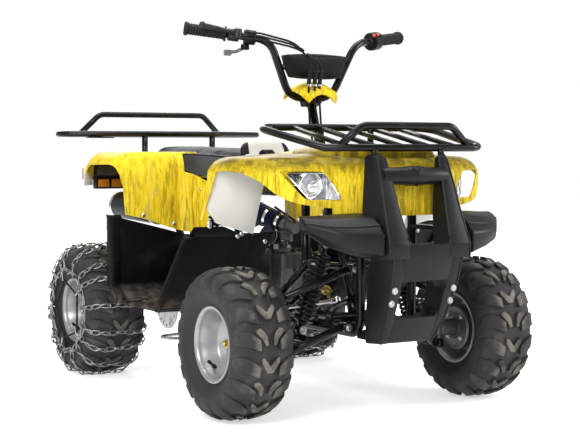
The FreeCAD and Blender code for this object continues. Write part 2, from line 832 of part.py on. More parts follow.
def control_cables():
    # Three held cables from the controls on the right bar, through the cover and down beside the column.
    lever, inward = on_bar(RIGHT, size("grip_length") + 34)
    front = Vector(0, -30, 2)
    foot, along = column_axis()
    cables = []
    for number, (x, y) in enumerate(CABLE_HOLES):
        start = lever + front + Vector(0, 0, (8, 0, -9)[number])
        side_x = (-19, 0, 19)[number]
        level = foot + along * ((772 - foot.z) / along.z)
        low = Vector(side_x, level.y - (0 if side_x else 19), 772)
        end = low - along * 54
        points = [start, start + inward * 46 + Vector(0, -8, 0), Vector(-104, y - 44, 1010 - 7 * number),
                  Vector(x - 4, y - 22, 955), Vector(x, y, 905), Vector(x, y, 850), low, end]
        route = rounded_corners([tuple(point) for point in points], 60, 0.5)
        length = sum(a.distanceToPoint(b) for a, b in zip(route, route[1:]))
        print("cable", number + 1, "length", round(length))
        cables.append(tube([tuple(point) for point in points], size("cable_radius"), 60, 5, 0.5))
    return Part.makeCompound(cables)


feature("handlebar_cover", handlebar_cover())
feature("control_cables", control_cables())


# Racks
def front_rack():
    r = size("rack_tube")
    front = (-742, 717)
    rear = (-440, 773)
    loop = [(0, rear[0], rear[1]), (285, rear[0], rear[1]), (250, front[0], front[1]),
            (0, front[0], front[1])]
    pieces = both_sides(tube(loop, r, 35))
    hoop = tube([(0, -748, 774), (142, -748, 774), (207, -735, 718)], r, 30)
    pieces += both_sides(hoop)
    for x in (-170, -85, 0, 85, 170):
        pieces.append(rod((x, front[0], front[1]), (x, rear[0], rear[1]), size("slat_tube")))
    for side in SIDES.values():
        pieces.append(rod((side * 105, -750, 717), (side * 105, -750, 690.3), r - 1))
        pieces.append(rod((side * 82, -446, 718 + size("pin_clearance")), (side * 82, -446, 772), r - 1))
    return join(pieces)


feature("front_rack", front_rack())


def rear_rack():
    r = size("rack_tube")
    z = 765
    loop = [(0, 614, z), (141, 614, z), (395, 744, z), (330, 844, z), (0, 844, z)]
    pieces = both_sides(tube(loop, r, 35))
    hoop = tube([(0, 833, 834), (199, 833, 834), (270, 843, z)], r, 30)
    pieces += both_sides(hoop)
    for x in (-190, -65, 65, 190):
        start = 614 if abs(x) < 100 else 640
        pieces.append(rod((x, start, z), (x, 844, z), size("slat_tube")))
    for side in SIDES.values():
        pieces.append(rod((side * 127, 617, 645 + size("pin_clearance")), (side * 127, 617, z), r))
    return join(pieces)


feature("rear_rack", rear_rack())


# Bumper
def front_bumper():
    # One black moulding: two posts with a cross roll, a waist with wings and a lower shield.
    levels = [
        (690, -128, -108, -84, -735, -771), (560, -138, -117, -74, -740, -818),
        (469, -150, -125, -63, -760, -854), (436, -150, -126, -60, -765, -850),
    ]
    post = loft([[(xo, yr, z), (xf, yf, z), (xi, yf, z), (xi, yr - 14, z)]
                 for z, xo, xf, xi, yr, yf in levels])
    lower_levels = [(436, -126, -108, -60, -765, -845), (372, -120, -102, -68, -740, -830),
                    (278, -112, -92, -68, -715, -792), (205, -106, -80, -58, -705, -745)]
    leg = loft([[(xo, yr, z), (xf, yf, z), (xi, yf, z), (xi, yr, z)]
                for z, xo, xf, xi, yr, yf in lower_levels])
    wing = loft([
        [(-138, -735, 548), (-138, -812, 528), (-138, -848, 500), (-138, -848, 446), (-138, -800, 430),
         (-138, -735, 436)],
        [(-250, -722, 545), (-250, -785, 522), (-250, -805, 504), (-250, -800, 470), (-250, -770, 462),
         (-250, -722, 470)],
        [(-308, -699, 547), (-308, -732, 528), (-308, -735, 520), (-308, -732, 512), (-308, -722, 508),
         (-308, -699, 516)],
    ])
    roll = turned_on([(-100, 0), (-100, 20), (0, 25), (100, 20), (100, 0)], 8, Vector(0, -775, 644), X_AXIS)
    waist = loft([[(-70, -790, 470), (-70, -853, 470), (70, -853, 470), (70, -790, 470)],
                  [(-70, -765, 430), (-70, -848, 430), (70, -848, 430), (70, -765, 430)],
                  [(-70, -770, 374), (-70, -830, 374), (70, -830, 374), (70, -770, 374)]])
    chin = loft([[(-70, -740, 278), (-70, -791, 278), (70, -791, 278), (70, -740, 278)],
                 [(-70, -705, 205), (-70, -744, 205), (70, -744, 205), (70, -705, 205)]])
    pieces = [post, mirror_x(post), leg, mirror_x(leg), wing, mirror_x(wing), roll, waist, chin]
    return join(pieces)


feature("front_bumper", front_bumper())


# Body panels
def offset_outline(points, distance):
    # Moves each side of a closed plan outline outward by the distance; the corners are mitred.
    area = sum(a[0] * b[1] - b[0] * a[1] for a, b in zip(points, points[1:] + points[:1]))
    turn = 1 if area > 0 else -1
    moved = []
    for before, corner, after in zip(points[-1:] + points[:-1], points, points[1:] + points[:1]):
        normals = []
        for first, second in ((before, corner), (corner, after)):
            dx, dy = second[0] - first[0], second[1] - first[1]
            length = math.hypot(dx, dy)
            normals.append((turn * dy / length, -turn * dx / length))
        sum_x, sum_y = normals[0][0] + normals[1][0], normals[0][1] + normals[1][1]
        scale = 2 * distance / (sum_x ** 2 + sum_y ** 2)
        moved.append((corner[0] + sum_x * scale, corner[1] + sum_y * scale))
    return moved


def symmetric_plan(half):
    return half + [(-x, y) for x, y in reversed(half) if x]


def stacked(levels, grow):
    # A solid lofted through plan outlines: the top drops and every side shifts by the same wall.
    sections = []
    for z, half in levels:
        height = z + grow if z == levels[-1][0] else z
        if grow < 0 and z == levels[0][0]:
            height = z - 30
        sections.append([(x, y, height) for x, y in offset_outline(symmetric_plan(half), grow)])
    return loft(sections)


FRONT_PLAN = [(0, -746), (-66, -746), (-100, -729), (-262, -674), (-312, -636), (-356, -586), (-396, -500),
              (-408, -440), (-404, -392)]
FRONT_TOP_PLAN = [(0, -728), (-62, -728), (-94, -714), (-250, -660), (-302, -624), (-345, -578), (-385, -498),
                  (-396, -440), (-392, -404)]
HOOD_PLAN = [(0, -716), (-100, -700), (-150, -670), (-160, -600), (-160, -500), (-150, -396)]
HOOD_TOP_PLAN = [(0, -700), (-86, -688), (-116, -660), (-122, -600), (-120, -500), (-112, -400)]


def front_solid(grow):
    skirt = stacked([(540, FRONT_PLAN), (655, FRONT_PLAN), (690, FRONT_TOP_PLAN)], grow)
    hood = stacked([(660, HOOD_PLAN), (718, HOOD_TOP_PLAN)], grow)
    return skirt.fuse(hood)


def wheel_arch(profile, inner_x, outer_x):
    # Cuts the side opening: a side-view profile drawn through from the outside.
    right = prism([(-outer_x, y, z) for y, z in profile], (outer_x - inner_x, 0, 0))
    return right.fuse(mirror_x(right))


def headlamp_window(side):
    # The slanted eye outline of a headlamp, drawn out along the lamp's own facing.
    corners = [(274, -587, 651), (205, -676, 653), (180, -714, 584), (250, -660, 580)]
    middle = Vector(side * 226, -660, 617)
    facing = Vector(side * 0.77, -0.62, 0.12).normalize()
    flat = []
    for x, y, z in corners:
        point = Vector(side * x, y, z)
        flat.append(point - facing * ((point - middle).dot(facing) + 70))
    return Part.Face(closed_wire([tuple(point) for point in flat])).extrude(facing * 140)


def front_body():
    # Hood, both front fenders and the nose in one moulding, open below and over the tyres.
    wall = size("panel_wall")
    panel = front_solid(0).cut(front_solid(-wall))
    arch = [(-300, 440), (-340, 520), (-436, 652), (-500, 654), (-560, 642), (-605, 616), (-640, 585),
            (-680, 566), (-740, 552), (-800, 540), (-800, 440)]
    panel = panel.cut(wheel_arch(arch, 200, 460))
    panel = panel.cut(box(-384, 384, -440, -380, 480, 660))
    flaps = []
    for side in SIDES.values():
        ends = []
        for y, outer_z, inner_z in ((-436, 658, 640), (-366, 523, 479)):
            ends.append([(side * 404, y, outer_z), (side * 250, y, inner_z), (side * 250, y + wall, inner_z),
                         (side * 404, y + wall, outer_z)])
        flaps.append(loft(ends))
        panel = panel.cut(headlamp_window(side))
    return join([panel] + flaps)


feature("front_fender", front_body())


REAR_PLAN = [(0, 655), (-300, 655), (-345, 625), (-400, 420), (-404, 300), (-400, 205), (-176, 205),
             (-160, 90)]
REAR_TOP_PLAN = [(0, 600), (-290, 600), (-328, 575), (-384, 415), (-390, 300), (-386, 218), (-176, 218),
                 (-156, 100)]


def rear_body():
    # Both rear fenders and the tail in one moulding, open below, over the tyres and for the seat.
    wall = size("panel_wall")
    levels = [(455, REAR_PLAN), (640, REAR_PLAN), (700, REAR_TOP_PLAN)]
    panel = stacked(levels, 0).cut(stacked(levels, -wall))
    arch = [(209.5, 400), (216, 560), (240, 640), (300, 664), (520, 664), (590, 640), (700, 606), (700, 400)]
    panel = panel.cut(wheel_arch(arch, 190, 480))
    panel = panel.cut(box(-135, 135, 60, 590, 600, 720)).cut(box(-240, 240, 560, 700, 400, 600))
    panel = panel.cut(box(-157, 157, 60, 112, 400, 720))
    wedge = prism([(-176, 150, 459), (-450, 150, 530), (-450, 150, 380), (-176, 150, 380)], (0, 90, 0))
    panel = panel.cut(wedge).cut(mirror_x(wedge))
    for side in SIDES.values():
        panel = panel.cut(rod((side * 127, 617, 560), (side * 127, 617, 740), size("rack_tube") + 0.5))
    return panel


feature("rear_fender", rear_body())


def seat():
    # A closed cushion with sloping side panels.
    sections = []
    for y, half, top, low in ((46.5, 75, 700, 640), (178, 112, 711, 620), (400, 128, 716, 652),
                              (560, 118, 722, 668), (583, 96, 712, 676)):
        sections.append([(-half * 0.82, y, top), (half * 0.82, y, top), (half, y, top - 16), (half, y, low),
                         (-half, y, low), (-half, y, top - 16)])
    return loft(sections)


feature("seat", seat())


def tank_cover():
    # A hood in front of the column, a valley for the filler cap and a peak in front of the seat.
    sections = []
    for y, half, top, low in ((-376, 104, 712, 640), (-215, 102, 708, 630), (-150, 98, 682, 630),
                              (-8, 92, 682, 634), (20, 82, 738, 640), (46, 70, 704, 640)):
        sections.append([(-half * 0.7, y, top), (half * 0.7, y, top), (half, y, top - 24), (half, y, low),
                         (-half, y, low), (-half, y, top - 24)])
    cover = loft(sections)
    foot, along = column_axis()
    return cover.cut(rod(foot, foot + along * 600, 28))


feature("tank_cover", tank_cover())

fuel_cap = doc.addObject("Part::Prism", "fuel_cap")
fuel_cap.Label = "fuel_cap"
fuel_cap.Polygon = 12
fuel_cap.setExpression("Circumradius", "sizes.cap_radius")
fuel_cap.setExpression("Height", "sizes.cap_height")
fuel_cap.Placement = Placement(Vector(-30, -50, 682 + size("pin_clearance")), Rotation())
nodes.append(fuel_cap)


def footwell(side, name):
    # A moulded tub: sloping front wall, floor and rear wall, with an inner side wall, open outward.
    wall = "sizes.panel_wall"
    inner = "sizes.footwell_inner_x"
    outer = "sizes.footwell_half_width"
    floor = "sizes.footwell_floor_z"
    start = inner if side == LEFT else f"-{outer}"
    line = [("-362", "500"), ("-330", "476"), ("-300", "476"), ("-108", floor), ("160", floor),
            ("209.6", "300"), ("209.6", "520")]
    inside = [("-362", f"500 + {wall}"), ("-330", f"476 + {wall}"), ("-298", f"476 + {wall}"),
              ("-106", f"{floor} + {wall}"), ("158", f"{floor} + {wall}"), (f"209.6 - {wall}", "302"),
              (f"209.6 - {wall}", "520")]
    body = new_body(f"footwell_{name}")
    extruded(body, "YZ_Plane", start, line + inside[::-1], f"{outer} - {inner}")
    side_wall = line[2:6] + [("209.6", "440"), ("120", "440"), ("-150", "440")]
    extruded(body, "YZ_Plane", inner if side == LEFT else f"-{inner} - {wall}", side_wall, wall)
    for front, depth, corners in (
            ("365", "60", ((140, 472), (250, 472), (440, 536), (440, 600), (140, 600))),
            ("-200", "20", ((140, 446), (180, 450), (440, 516), (440, 600), (140, 600)))):
        shape = [(str(side * x), str(z)) for x, z in corners]
        extruded(body, "XZ_Plane", front, shape, depth, "PartDesign::Pocket")


footwell(RIGHT, "right")
footwell(LEFT, "left")


def foot_brake():
    # The brake pedal under the right footwell: a bent rod that ends in a loop.
    rail = -size("rail_x") - flat_height(size("frame_tube")) - size("pin_clearance")
    level = size("rail_z")
    route = [(rail, -170, level), (-122, -170, level), (-160, -171, 206), (-360, -168, 190),
             (-432, -160, 186), (-446, -188, 184), (-424, -214, 183), (-376, -206, 184)]
    return tube(route, 5, 20, 6)


feature("foot_brake", foot_brake())


# Power unit
def round_cover(y, z, radius, sides=14):
    # The corners of a many-sided cover as expressions of its radius.
    corners = []
    for i in range(sides):
        turn = math.tau * (i + 0.5) / sides
        corners.append((f"{y} + {radius} * {math.cos(turn):.5f}", f"{z} + {radius} * {math.sin(turn):.5f}"))
    return corners


def engine():
    # The closed case with its covers and sprocket, the lying cylinder with its fins, and the head.
    body = new_body("engine")
    case = [("-20", "300"), ("-20", "380"), ("20", "420"), ("180", "420"), ("215", "380"), ("215", "270"),
            ("160", "240"), ("10", "240")]
    extruded(body, "YZ_Plane", "-sizes.case_width / 2", case, "sizes.case_width")
    half = "sizes.cylinder_width / 2"
    extruded(body, "XZ_Plane", "10", rectangle(f"-{half}", half, "312", "392"), "115")
    extruded(body, "XZ_Plane", "118", rectangle("-50", "50", "300", "410"), "57")
    half = "sizes.fin_width / 2"
    fin = extruded(body, "XZ_Plane", "34", rectangle(f"-{half}", half, "298", "410"), "sizes.fin_thickness")
    fins = body.newObject("PartDesign::LinearPattern", "engine_fins")
    fins.Originals = [fin]
    along = [item for item in body.Origin.OriginFeatures if item.Role == "Y_Axis"][0]
    fins.Direction = (along, [""])
    fins.Reversed = True
    fins.setExpression("Length", "sizes.fin_pitch * (sizes.fin_count - 1)")
    fins.setExpression("Occurrences", "sizes.fin_count")
    body.Tip = fins
    extruded(body, "YZ_Plane", "-108", round_cover(120, 325, "sizes.left_cover_radius"), "14")
    extruded(body, "YZ_Plane", "94", round_cover(110, 330, "sizes.right_cover_radius"), "14")
    extruded(body, "YZ_Plane", "107", ("150", "320", "sizes.sprocket_radius"), "19")


engine()


def carburettor():
    # Intake stub on the head, the carburettor body with its float bowl, and the cone filter.
    pieces = [
        tube([(-30, -146, 410.3), (-30, -146, 426), (-44, -172, 478)], 13, 0),
        rod((-36, -236, 484), (-62, -166, 500), 20),
        rod((-48, -200, 446), (-48, -200, 504), 18),
        rod((-62, -166, 500), (-76, -138, 512), 24),
        rod((-76, -138, 512), (-104, -86, 532), 32, 12),
    ]
    return join(pieces)


feature("carburettor", carburettor())


def exhaust():
    pipe = tube([(-30, -147, 299.7), (-30, -147, 258), (-128, -147, 254), (-128, 170, 254), (-128, 262, 360),
                 (-190, 262, 500), (-240, 300, 520)], 11, 36)
    silencer = rod((-240, 256, 520), (-264, 524, 533), 42, 14)
    return join([pipe, silencer])


feature("exhaust", exhaust())


# Rear suspension
def swingarm():
    y = size("rear_axle_y")
    z = size("tyre_radius")
    bore = size("axle_radius") + size("pin_clearance")
    tube_shell = rod((-100, y, z), (100, y, z), 28)
    pieces = [tube_shell]
    for side in SIDES.values():
        pieces.append(tube([(side * 50, 270, 262), (side * 56, 340, 262), (side * 70, y, z + 6)], 13, 60))
    pieces.append(rod((-66, 268, 262), (66, 268, 262), 17))
    pieces.append(rod((-66, 345, 258), (66, 345, 258), 12))
    arm = join(pieces)
    pivot = cylinder((-100, 268, 262), (100, 268, 262), 8.3)
    return arm.cut(cylinder((-200, y, z), (200, y, z), bore)).cut(pivot)


feature("swingarm", swingarm())
shock_seat = size("pin_clearance") + flat_height(15)
feature("rear_shock", shock(Vector(0, 345, 258 + flat_height(12) + shock_seat),
                            Vector(0, 330, 612 - flat_height(size("frame_tube") - 2.5) - shock_seat), 24, 5))


def drive_chain():
    # The chain loop as one band round both sprockets, with the front sprocket inside it.
    front = Vector(114, 150, 320)
    rear = Vector(114, size("rear_axle_y"), size("tyre_radius"))
    return belt(front, rear, 30, 86).cut(belt(front, rear, 22, 77))


def belt(front, rear, front_radius, rear_radius):
    # A disc at each end and the straight sides between them, 12 wide.
    span = rear - front
    lean = math.asin((rear_radius - front_radius) / span.Length)
    angle = math.atan2(span.z, span.y)
    corners = []
    for sign in (1, -1):
        normal = angle + sign * (math.pi / 2 + lean)
        direction = Vector(0, math.cos(normal), math.sin(normal))
        corners.append((front + direction * front_radius, rear + direction * rear_radius))
    quad = [corners[0][0], corners[0][1], corners[1][1], corners[1][0]]
    web = prism([tuple(point) for point in quad], (12, 0, 0))
    discs = [rod(centre, centre + X_AXIS * 12, radius, 16)
             for centre, radius in ((front, front_radius), (rear, rear_radius))]
    return join([web] + discs)


feature("drive_chain", drive_chain())


# Lamps
def headlamp(side):
    return headlamp_window(side).common(front_solid(0).cut(front_solid(-14)))


feature("headlamps", Part.makeCompound([headlamp(RIGHT), headlamp(LEFT)]))


def tail_lamp(side):
    return box(min(side * 250, side * 330), max(side * 250, side * 330), 655, 675, 612, 652)


feature("tail_lamps", Part.makeCompound([tail_lamp(RIGHT), tail_lamp(LEFT)]))


# Check and write
doc.recompute()
for item in doc.Objects:
    if "Invalid" in item.State or "Error" in item.State:
        raise RuntimeError(f"{item.Label} failed: {item.State}")
os.makedirs("parts", exist_ok=True)
for node in nodes:
    shape = node.Shape
    if shape.isNull() or not shape.isValid():
        raise RuntimeError(f"{node.Label} is null or invalid")
    shape.exportStep(f"parts/{node.Label}.step")
    print(f"{node.Label}: {len(shape.Solids)} solids, {shape.Volume / 1000:.1f} cm3")
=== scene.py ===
# %% [markdown]
# A youth quad bike: steel tubes, moulded panels, knobbly tyres and snow chains.
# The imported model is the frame: it gives every place and size, and is never moved.
# Here each piece gets its finish, and the pieces that need rounder or finer forms are
# modelled anew around the same places.
# %% Load the frame
import json
import math
import random

import bpy
from mathutils import Matrix, Vector


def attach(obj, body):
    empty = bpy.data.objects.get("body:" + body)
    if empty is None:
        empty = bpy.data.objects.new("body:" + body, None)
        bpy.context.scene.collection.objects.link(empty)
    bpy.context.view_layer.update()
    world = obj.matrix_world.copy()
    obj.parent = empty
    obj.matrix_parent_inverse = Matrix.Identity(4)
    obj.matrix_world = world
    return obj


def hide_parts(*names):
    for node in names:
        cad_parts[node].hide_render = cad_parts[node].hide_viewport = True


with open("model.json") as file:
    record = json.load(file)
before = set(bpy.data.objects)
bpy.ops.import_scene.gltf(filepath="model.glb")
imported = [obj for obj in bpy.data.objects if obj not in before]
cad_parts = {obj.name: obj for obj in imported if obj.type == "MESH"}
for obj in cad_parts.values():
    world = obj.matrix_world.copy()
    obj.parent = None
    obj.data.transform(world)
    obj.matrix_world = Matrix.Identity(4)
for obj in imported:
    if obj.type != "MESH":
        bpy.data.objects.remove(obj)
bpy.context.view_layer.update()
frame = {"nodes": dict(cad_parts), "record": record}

# %% [markdown]
# The photograph was taken from the front right corner at about hood height with a long lens.
# The camera stands where the wheels, racks and lamps of the model fall on those of the picture.
# %% Camera
IMAGE_WIDTH = 580
FOCAL_PIXELS = 1474
SENSOR_MM = 36
CAMERA_PLACE = (-2.203, -3.924, 0.712)
CAMERA_AIM = (0.0475, -0.0547, 0.506)
camera_data = bpy.data.cameras.new("camera")
camera_data.sensor_width = SENSOR_MM
camera_data.lens = FOCAL_PIXELS / IMAGE_WIDTH * SENSOR_MM
camera = bpy.data.objects.new("camera", camera_data)
bpy.context.collection.objects.link(camera)
camera.location = CAMERA_PLACE
aim = Vector(CAMERA_AIM) - camera.location
camera.rotation_euler = aim.to_track_quat("-Z", "Y").to_euler()
bpy.context.scene.camera = camera

# %% [markdown]
# Lengths are written in millimetres, as on a drawing, and turned into metres once.
# Modelling by operators works on whatever is selected, so every step starts by selecting
# one object alone.
# %% Units and sides
MM = 0.001
DOUBLES = 0.00001
RIGHT = -1
LEFT = 1
SIDES = {"right": RIGHT, "left": LEFT}
X_AXIS = Vector((1, 0, 0))
Y_AXIS = Vector((0, 1, 0))
Z_AXIS = Vector((0, 0, 1))


# %% Small tools
def use(obj):
    bpy.ops.object.select_all(action="DESELECT")
    obj.select_set(True)
    bpy.context.view_layer.objects.active = obj
    return obj


def modify(obj, kind, **settings):
    # Adds a modifier with its settings and applies it.
    use(obj)
    modifier = obj.modifiers.new(kind, kind)
    for name, value in settings.items():
        setattr(modifier, name, value)
    bpy.ops.object.modifier_apply(modifier=modifier.name)
    return obj


def settle(obj):
    # Puts an object's place and turn into its mesh.
    use(obj)
    bpy.ops.object.transform_apply(location=True, rotation=True, scale=True)
    return obj


def join(pieces, name):
    bpy.ops.object.select_all(action="DESELECT")
    for piece in pieces:
        piece.select_set(True)
    bpy.context.view_layer.objects.active = pieces[0]
    if len(pieces) > 1:
        bpy.ops.object.join()
    pieces[0].name = name
    return pieces[0]


def smooth(obj, angle=35):
    use(obj)
    bpy.ops.object.shade_smooth_by_angle(angle=math.radians(angle))
    return obj


def clean(obj):
    # Merges doubles and turns every face outwards.
    use(obj)
    bpy.ops.object.mode_set(mode="EDIT")
    bpy.ops.mesh.select_all(action="SELECT")
    bpy.ops.mesh.remove_doubles(threshold=DOUBLES)
    bpy.ops.mesh.normals_make_consistent(inside=False)
    bpy.ops.object.mode_set(mode="OBJECT")
    return obj


def moved(obj, matrix):
    # A copy of a piece placed by a matrix.
    copy = obj.copy()
    copy.data = obj.data.copy()
    copy.data.transform(matrix)
    bpy.context.collection.objects.link(copy)
    return copy


def mirrored(obj):
    # A copy on the other side of the vehicle.
    copy = moved(obj, Matrix.Identity(4))
    copy.scale.x = -1
    settle(copy)
    bpy.ops.object.mode_set(mode="EDIT")
    bpy.ops.mesh.select_all(action="SELECT")
    bpy.ops.mesh.flip_normals()
    bpy.ops.object.mode_set(mode="OBJECT")
    return copy


def discard(obj):
    bpy.data.objects.remove(obj, do_unlink=True)


def on_side(side, point):
    # A place given for the left side, or its counterpart on the right one.
    return Vector((side * point[0], point[1], point[2]))


# %% [markdown]
# Three starts serve most pieces: a bar bent round its corners, a profile spun about an axis,
# and a flat outline pulled up through levels.
# %% Bent bars
def rounded_route(points, bend, chords=6):
    # Replaces each corner by chords of an arc that touches both runs.
    points = [Vector(point) for point in points]
    route = [points[0]]
    for before, corner, after in zip(points, points[1:], points[2:]):
        into = (corner - before).normalized()
        out = (after - corner).normalized()
        turn = into.angle(out)
        if turn < 0.02:
            route.append(corner)
            continue
        room = 0.48 * min((corner - before).length, (after - corner).length)
        cut = min(bend * math.tan(turn / 2), room)
        radius = cut / math.tan(turn / 2)
        centre = corner + (out - into).normalized() * math.hypot(radius, cut)
        start = corner - into * cut - centre
        axis = into.cross(out)
        for i in range(chords + 1):
            route.append(centre + Matrix.Rotation(turn * i / chords, 3, axis) @ start)
    route.append(points[-1])
    return route


def bar(name, points, radius, bend=40, sides=6, closed=False):
    # A round bar or tube: a curve with a round bevel, made a mesh.
    bpy.ops.object.select_all(action="DESELECT")
    bpy.ops.curve.primitive_bezier_curve_add()
    obj = bpy.context.object
    obj.name = name
    curve = obj.data
    curve.splines.clear()
    route = rounded_route(points, bend) if bend else [Vector(point) for point in points]
    spline = curve.splines.new("POLY")
    spline.points.add(len(route) - 1)
    for point, place in zip(spline.points, route):
        point.co = (*(place * MM), 1)
    spline.use_cyclic_u = closed
    curve.dimensions = "3D"
    curve.bevel_depth = radius * MM
    curve.bevel_resolution = sides
    curve.use_fill_caps = not closed
    use(obj)
    bpy.ops.object.convert(target="MESH")
    return clean(bpy.context.object)


def rod(name, points, radius, bend=40, sides=6, closed=False, angle=35):
    return smooth(bar(name, points, radius, bend, sides, closed), angle)


# %% Turned pieces
def frame_to(centre, axis):
    # The matrix that lays a piece made along X at the origin onto another axis.
    turn = X_AXIS.rotation_difference(Vector(axis).normalized()).to_matrix().to_4x4()
    return Matrix.Translation(Vector(centre) * MM) @ turn


def turned(name, profile, centre=(0, 0, 0), axis=(1, 0, 0), steps=48):
    # A profile of (along, radius) corners spun about X and laid on its own axis.
    bpy.ops.object.select_all(action="DESELECT")
    bpy.ops.mesh.primitive_circle_add(vertices=len(profile), radius=1, fill_type="NOTHING")
    obj = bpy.context.object
    obj.name = name
    for vertex, (along, radius) in zip(obj.data.vertices, profile):
        vertex.co = (along * MM, 0, radius * MM)
    bpy.ops.object.mode_set(mode="EDIT")
    bpy.ops.mesh.select_all(action="SELECT")
    bpy.ops.mesh.spin(steps=steps, angle=math.tau, center=(0, 0, 0), axis=(1, 0, 0))
    bpy.ops.object.mode_set(mode="OBJECT")
    obj.data.transform(frame_to(centre, axis))
    obj.location = (0, 0, 0)
    return clean(obj)


def spun(name, profile, centre=(0, 0, 0), axis=(1, 0, 0), steps=48, angle=35):
    return smooth(turned(name, profile, centre, axis, steps), angle)


# %% Outlines pulled up through levels
def from_faces(name, corners, faces):
    mesh = bpy.data.meshes.new(name)
    mesh.from_pydata([tuple(Vector(point) * MM) for point in corners], [], faces)
    obj = bpy.data.objects.new(name, mesh)
    bpy.context.collection.objects.link(obj)
    return obj


def skin(name, rings, capped=True):
    # A closed form through rings with equally many corners each.
    count = len(rings[0])
    corners = [point for ring in rings for point in ring]
    faces = []
    for level in range(len(rings) - 1):
        for i in range(count):
            following = (i + 1) % count
            low, high = level * count, (level + 1) * count
            faces.append((low + i, low + following, high + following, high + i))
    if capped:
        faces.append(tuple(range(count)))
        faces.append(tuple(range(len(corners) - count, len(corners))))
    return clean(from_faces(name, corners, faces))


def drawn(name, outline, axis, start, end):
    # A flat outline drawn through from one place to another along X, Y or Z (0, 1 or 2).
    rings = [[(*point[:axis], place, *point[axis:]) for point in outline] for place in (start, end)]
    return skin(name, rings)


def open_sheet(name, rows):
    # A sheet without thickness through rows of equally many points.
    count = len(rows[0])
    faces = []
    for i in range(len(rows) - 1):
        for j in range(count - 1):
            a = i * count + j
            faces.append((a, a + 1, a + 1 + count, a + count))
    return from_faces(name, [point for row in rows for point in row], faces)


def full_ring(line, y):
    # One half of an outline, from low to top, made whole by its mirror image.
    return [(-x, y, z) for x, z in line] + [(x, y, z) for x, z in reversed(line)]


def round_places(count, radius, first=0.0):
    # Equal steps round a circle, as (sine, cosine) pairs times the radius.
    turns = [math.tau * (i + first) / count for i in range(count)]
    return [(radius * math.sin(turn), radius * math.cos(turn)) for turn in turns]


def block(name, low, high, edge=0):
    # A rectangular block between two corners with rounded edges.
    bpy.ops.object.select_all(action="DESELECT")
    middle = (Vector(low) + Vector(high)) / 2
    bpy.ops.mesh.primitive_cube_add(size=1, location=middle * MM)
    obj = bpy.context.object
    obj.name = name
    obj.scale = (Vector(high) - Vector(low)) * MM
    settle(obj)
    if edge:
        modify(obj, "BEVEL", width=edge * MM, segments=3, limit_method="ANGLE")
    return obj


def soften(obj, width, segments=2, angle=30):
    # Rounds the sharp edges and shades the rest smooth.
    modify(obj, "BEVEL", width=width * MM, segments=segments, limit_method="ANGLE",
           angle_limit=math.radians(angle), harden_normals=False)
    return smooth(obj, angle)


def cut(obj, cutter):
    modify(obj, "BOOLEAN", operation="DIFFERENCE", object=cutter, solver="EXACT")
    discard(cutter)
    return obj


def dress(obj, finish, body=None, replaces=()):
    # Gives a piece its finish, its body and the solids it stands for.
    obj.data.materials.clear()
    for material in finish if isinstance(finish, list) else [finish]:
        obj.data.materials.append(material)
    if body:
        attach(obj, body)
    if replaces:
        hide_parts(*replaces)
    return obj


# %% [markdown]
# Shader maths reads as plain expressions: a Value wraps a socket, and + - * on it add Math
# nodes. Every other node comes from Finish.node, which takes its type, settings and inputs.
# %% Shader expressions
class Value:
    def __init__(self, finish, socket):
        self.finish = finish
        self.socket = socket

    def math(self, operation, *others):
        return self.finish.node("Math", {"operation": operation}, dict(enumerate((self, *others))))

    def __add__(self, other):
        return self.math("ADD", other)

    def __sub__(self, other):
        return self.math("SUBTRACT", other)

    def __rsub__(self, other):
        return self.finish.node("Math", {"operation": "SUBTRACT"}, {0: other, 1: self})

    def __mul__(self, other):
        return self.math("MULTIPLY", other)

    def step(self, low, high):
        # Rises smoothly from 0 at low to 1 at high.
        return self.finish.node("MapRange", {"interpolation_type": "SMOOTHSTEP"},
                                {"Value": self, "From Min": low, "From Max": high})


class Finish:
    def __init__(self, name, colour=(0.5, 0.5, 0.5), roughness=0.5, metallic=0.0, **sockets):
        self.material = bpy.data.materials.new(name)
        self.material.use_nodes = True
        self.nodes = self.material.node_tree.nodes
        self.links = self.material.node_tree.links
        self.nodes.clear()
        self.shader = self.nodes.new("ShaderNodeBsdfPrincipled")
        output = self.nodes.new("ShaderNodeOutputMaterial")
        self.links.new(self.shader.outputs[0], output.inputs[0])
        self.place = self.node("TexCoord", output="Object")
        self.set("Base Color", (*colour, 1))
        self.set("Roughness", roughness)
        self.set("Metallic", metallic)
        for socket, value in sockets.items():
            self.set(socket.replace("_", " "), value)

    def node(self, kind, settings=None, inputs=None, output=0):
        made = self.nodes.new("ShaderNode" + kind)
        for name, value in (settings or {}).items():
            setattr(made, name, value)
        for socket, value in (inputs or {}).items():
            self.feed(made.inputs[socket], value)
        return Value(self, made.outputs[output])

    def feed(self, socket, value):
        if isinstance(value, Value):
            self.links.new(value.socket, socket)
        else:
            socket.default_value = value

    def set(self, socket, value):
        self.feed(self.shader.inputs[socket], value)

    def noise(self, scale, detail):
        return self.node("TexNoise", inputs={"Vector": self.place, "Scale": scale, "Detail": detail})

    def axes(self):
        made = self.nodes.new("ShaderNodeSeparateXYZ")
        self.feed(made.inputs[0], self.place)
        return [Value(self, made.outputs[i]) for i in range(3)]

    def mix(self, factor, first, second):
        pair = [(*c, 1) if isinstance(c, tuple) else c for c in (first, second)]
        return self.node("Mix", {"data_type": "RGBA"}, {0: factor, 6: pair[0], 7: pair[1]}, output=2)

    def colour(self, value):
        self.set("Base Color", value)

    def bump(self, height, distance, strength):
        inputs = {"Strength": strength, "Distance": distance, "Height": height}
        self.set("Normal", self.node("Bump", inputs=inputs))


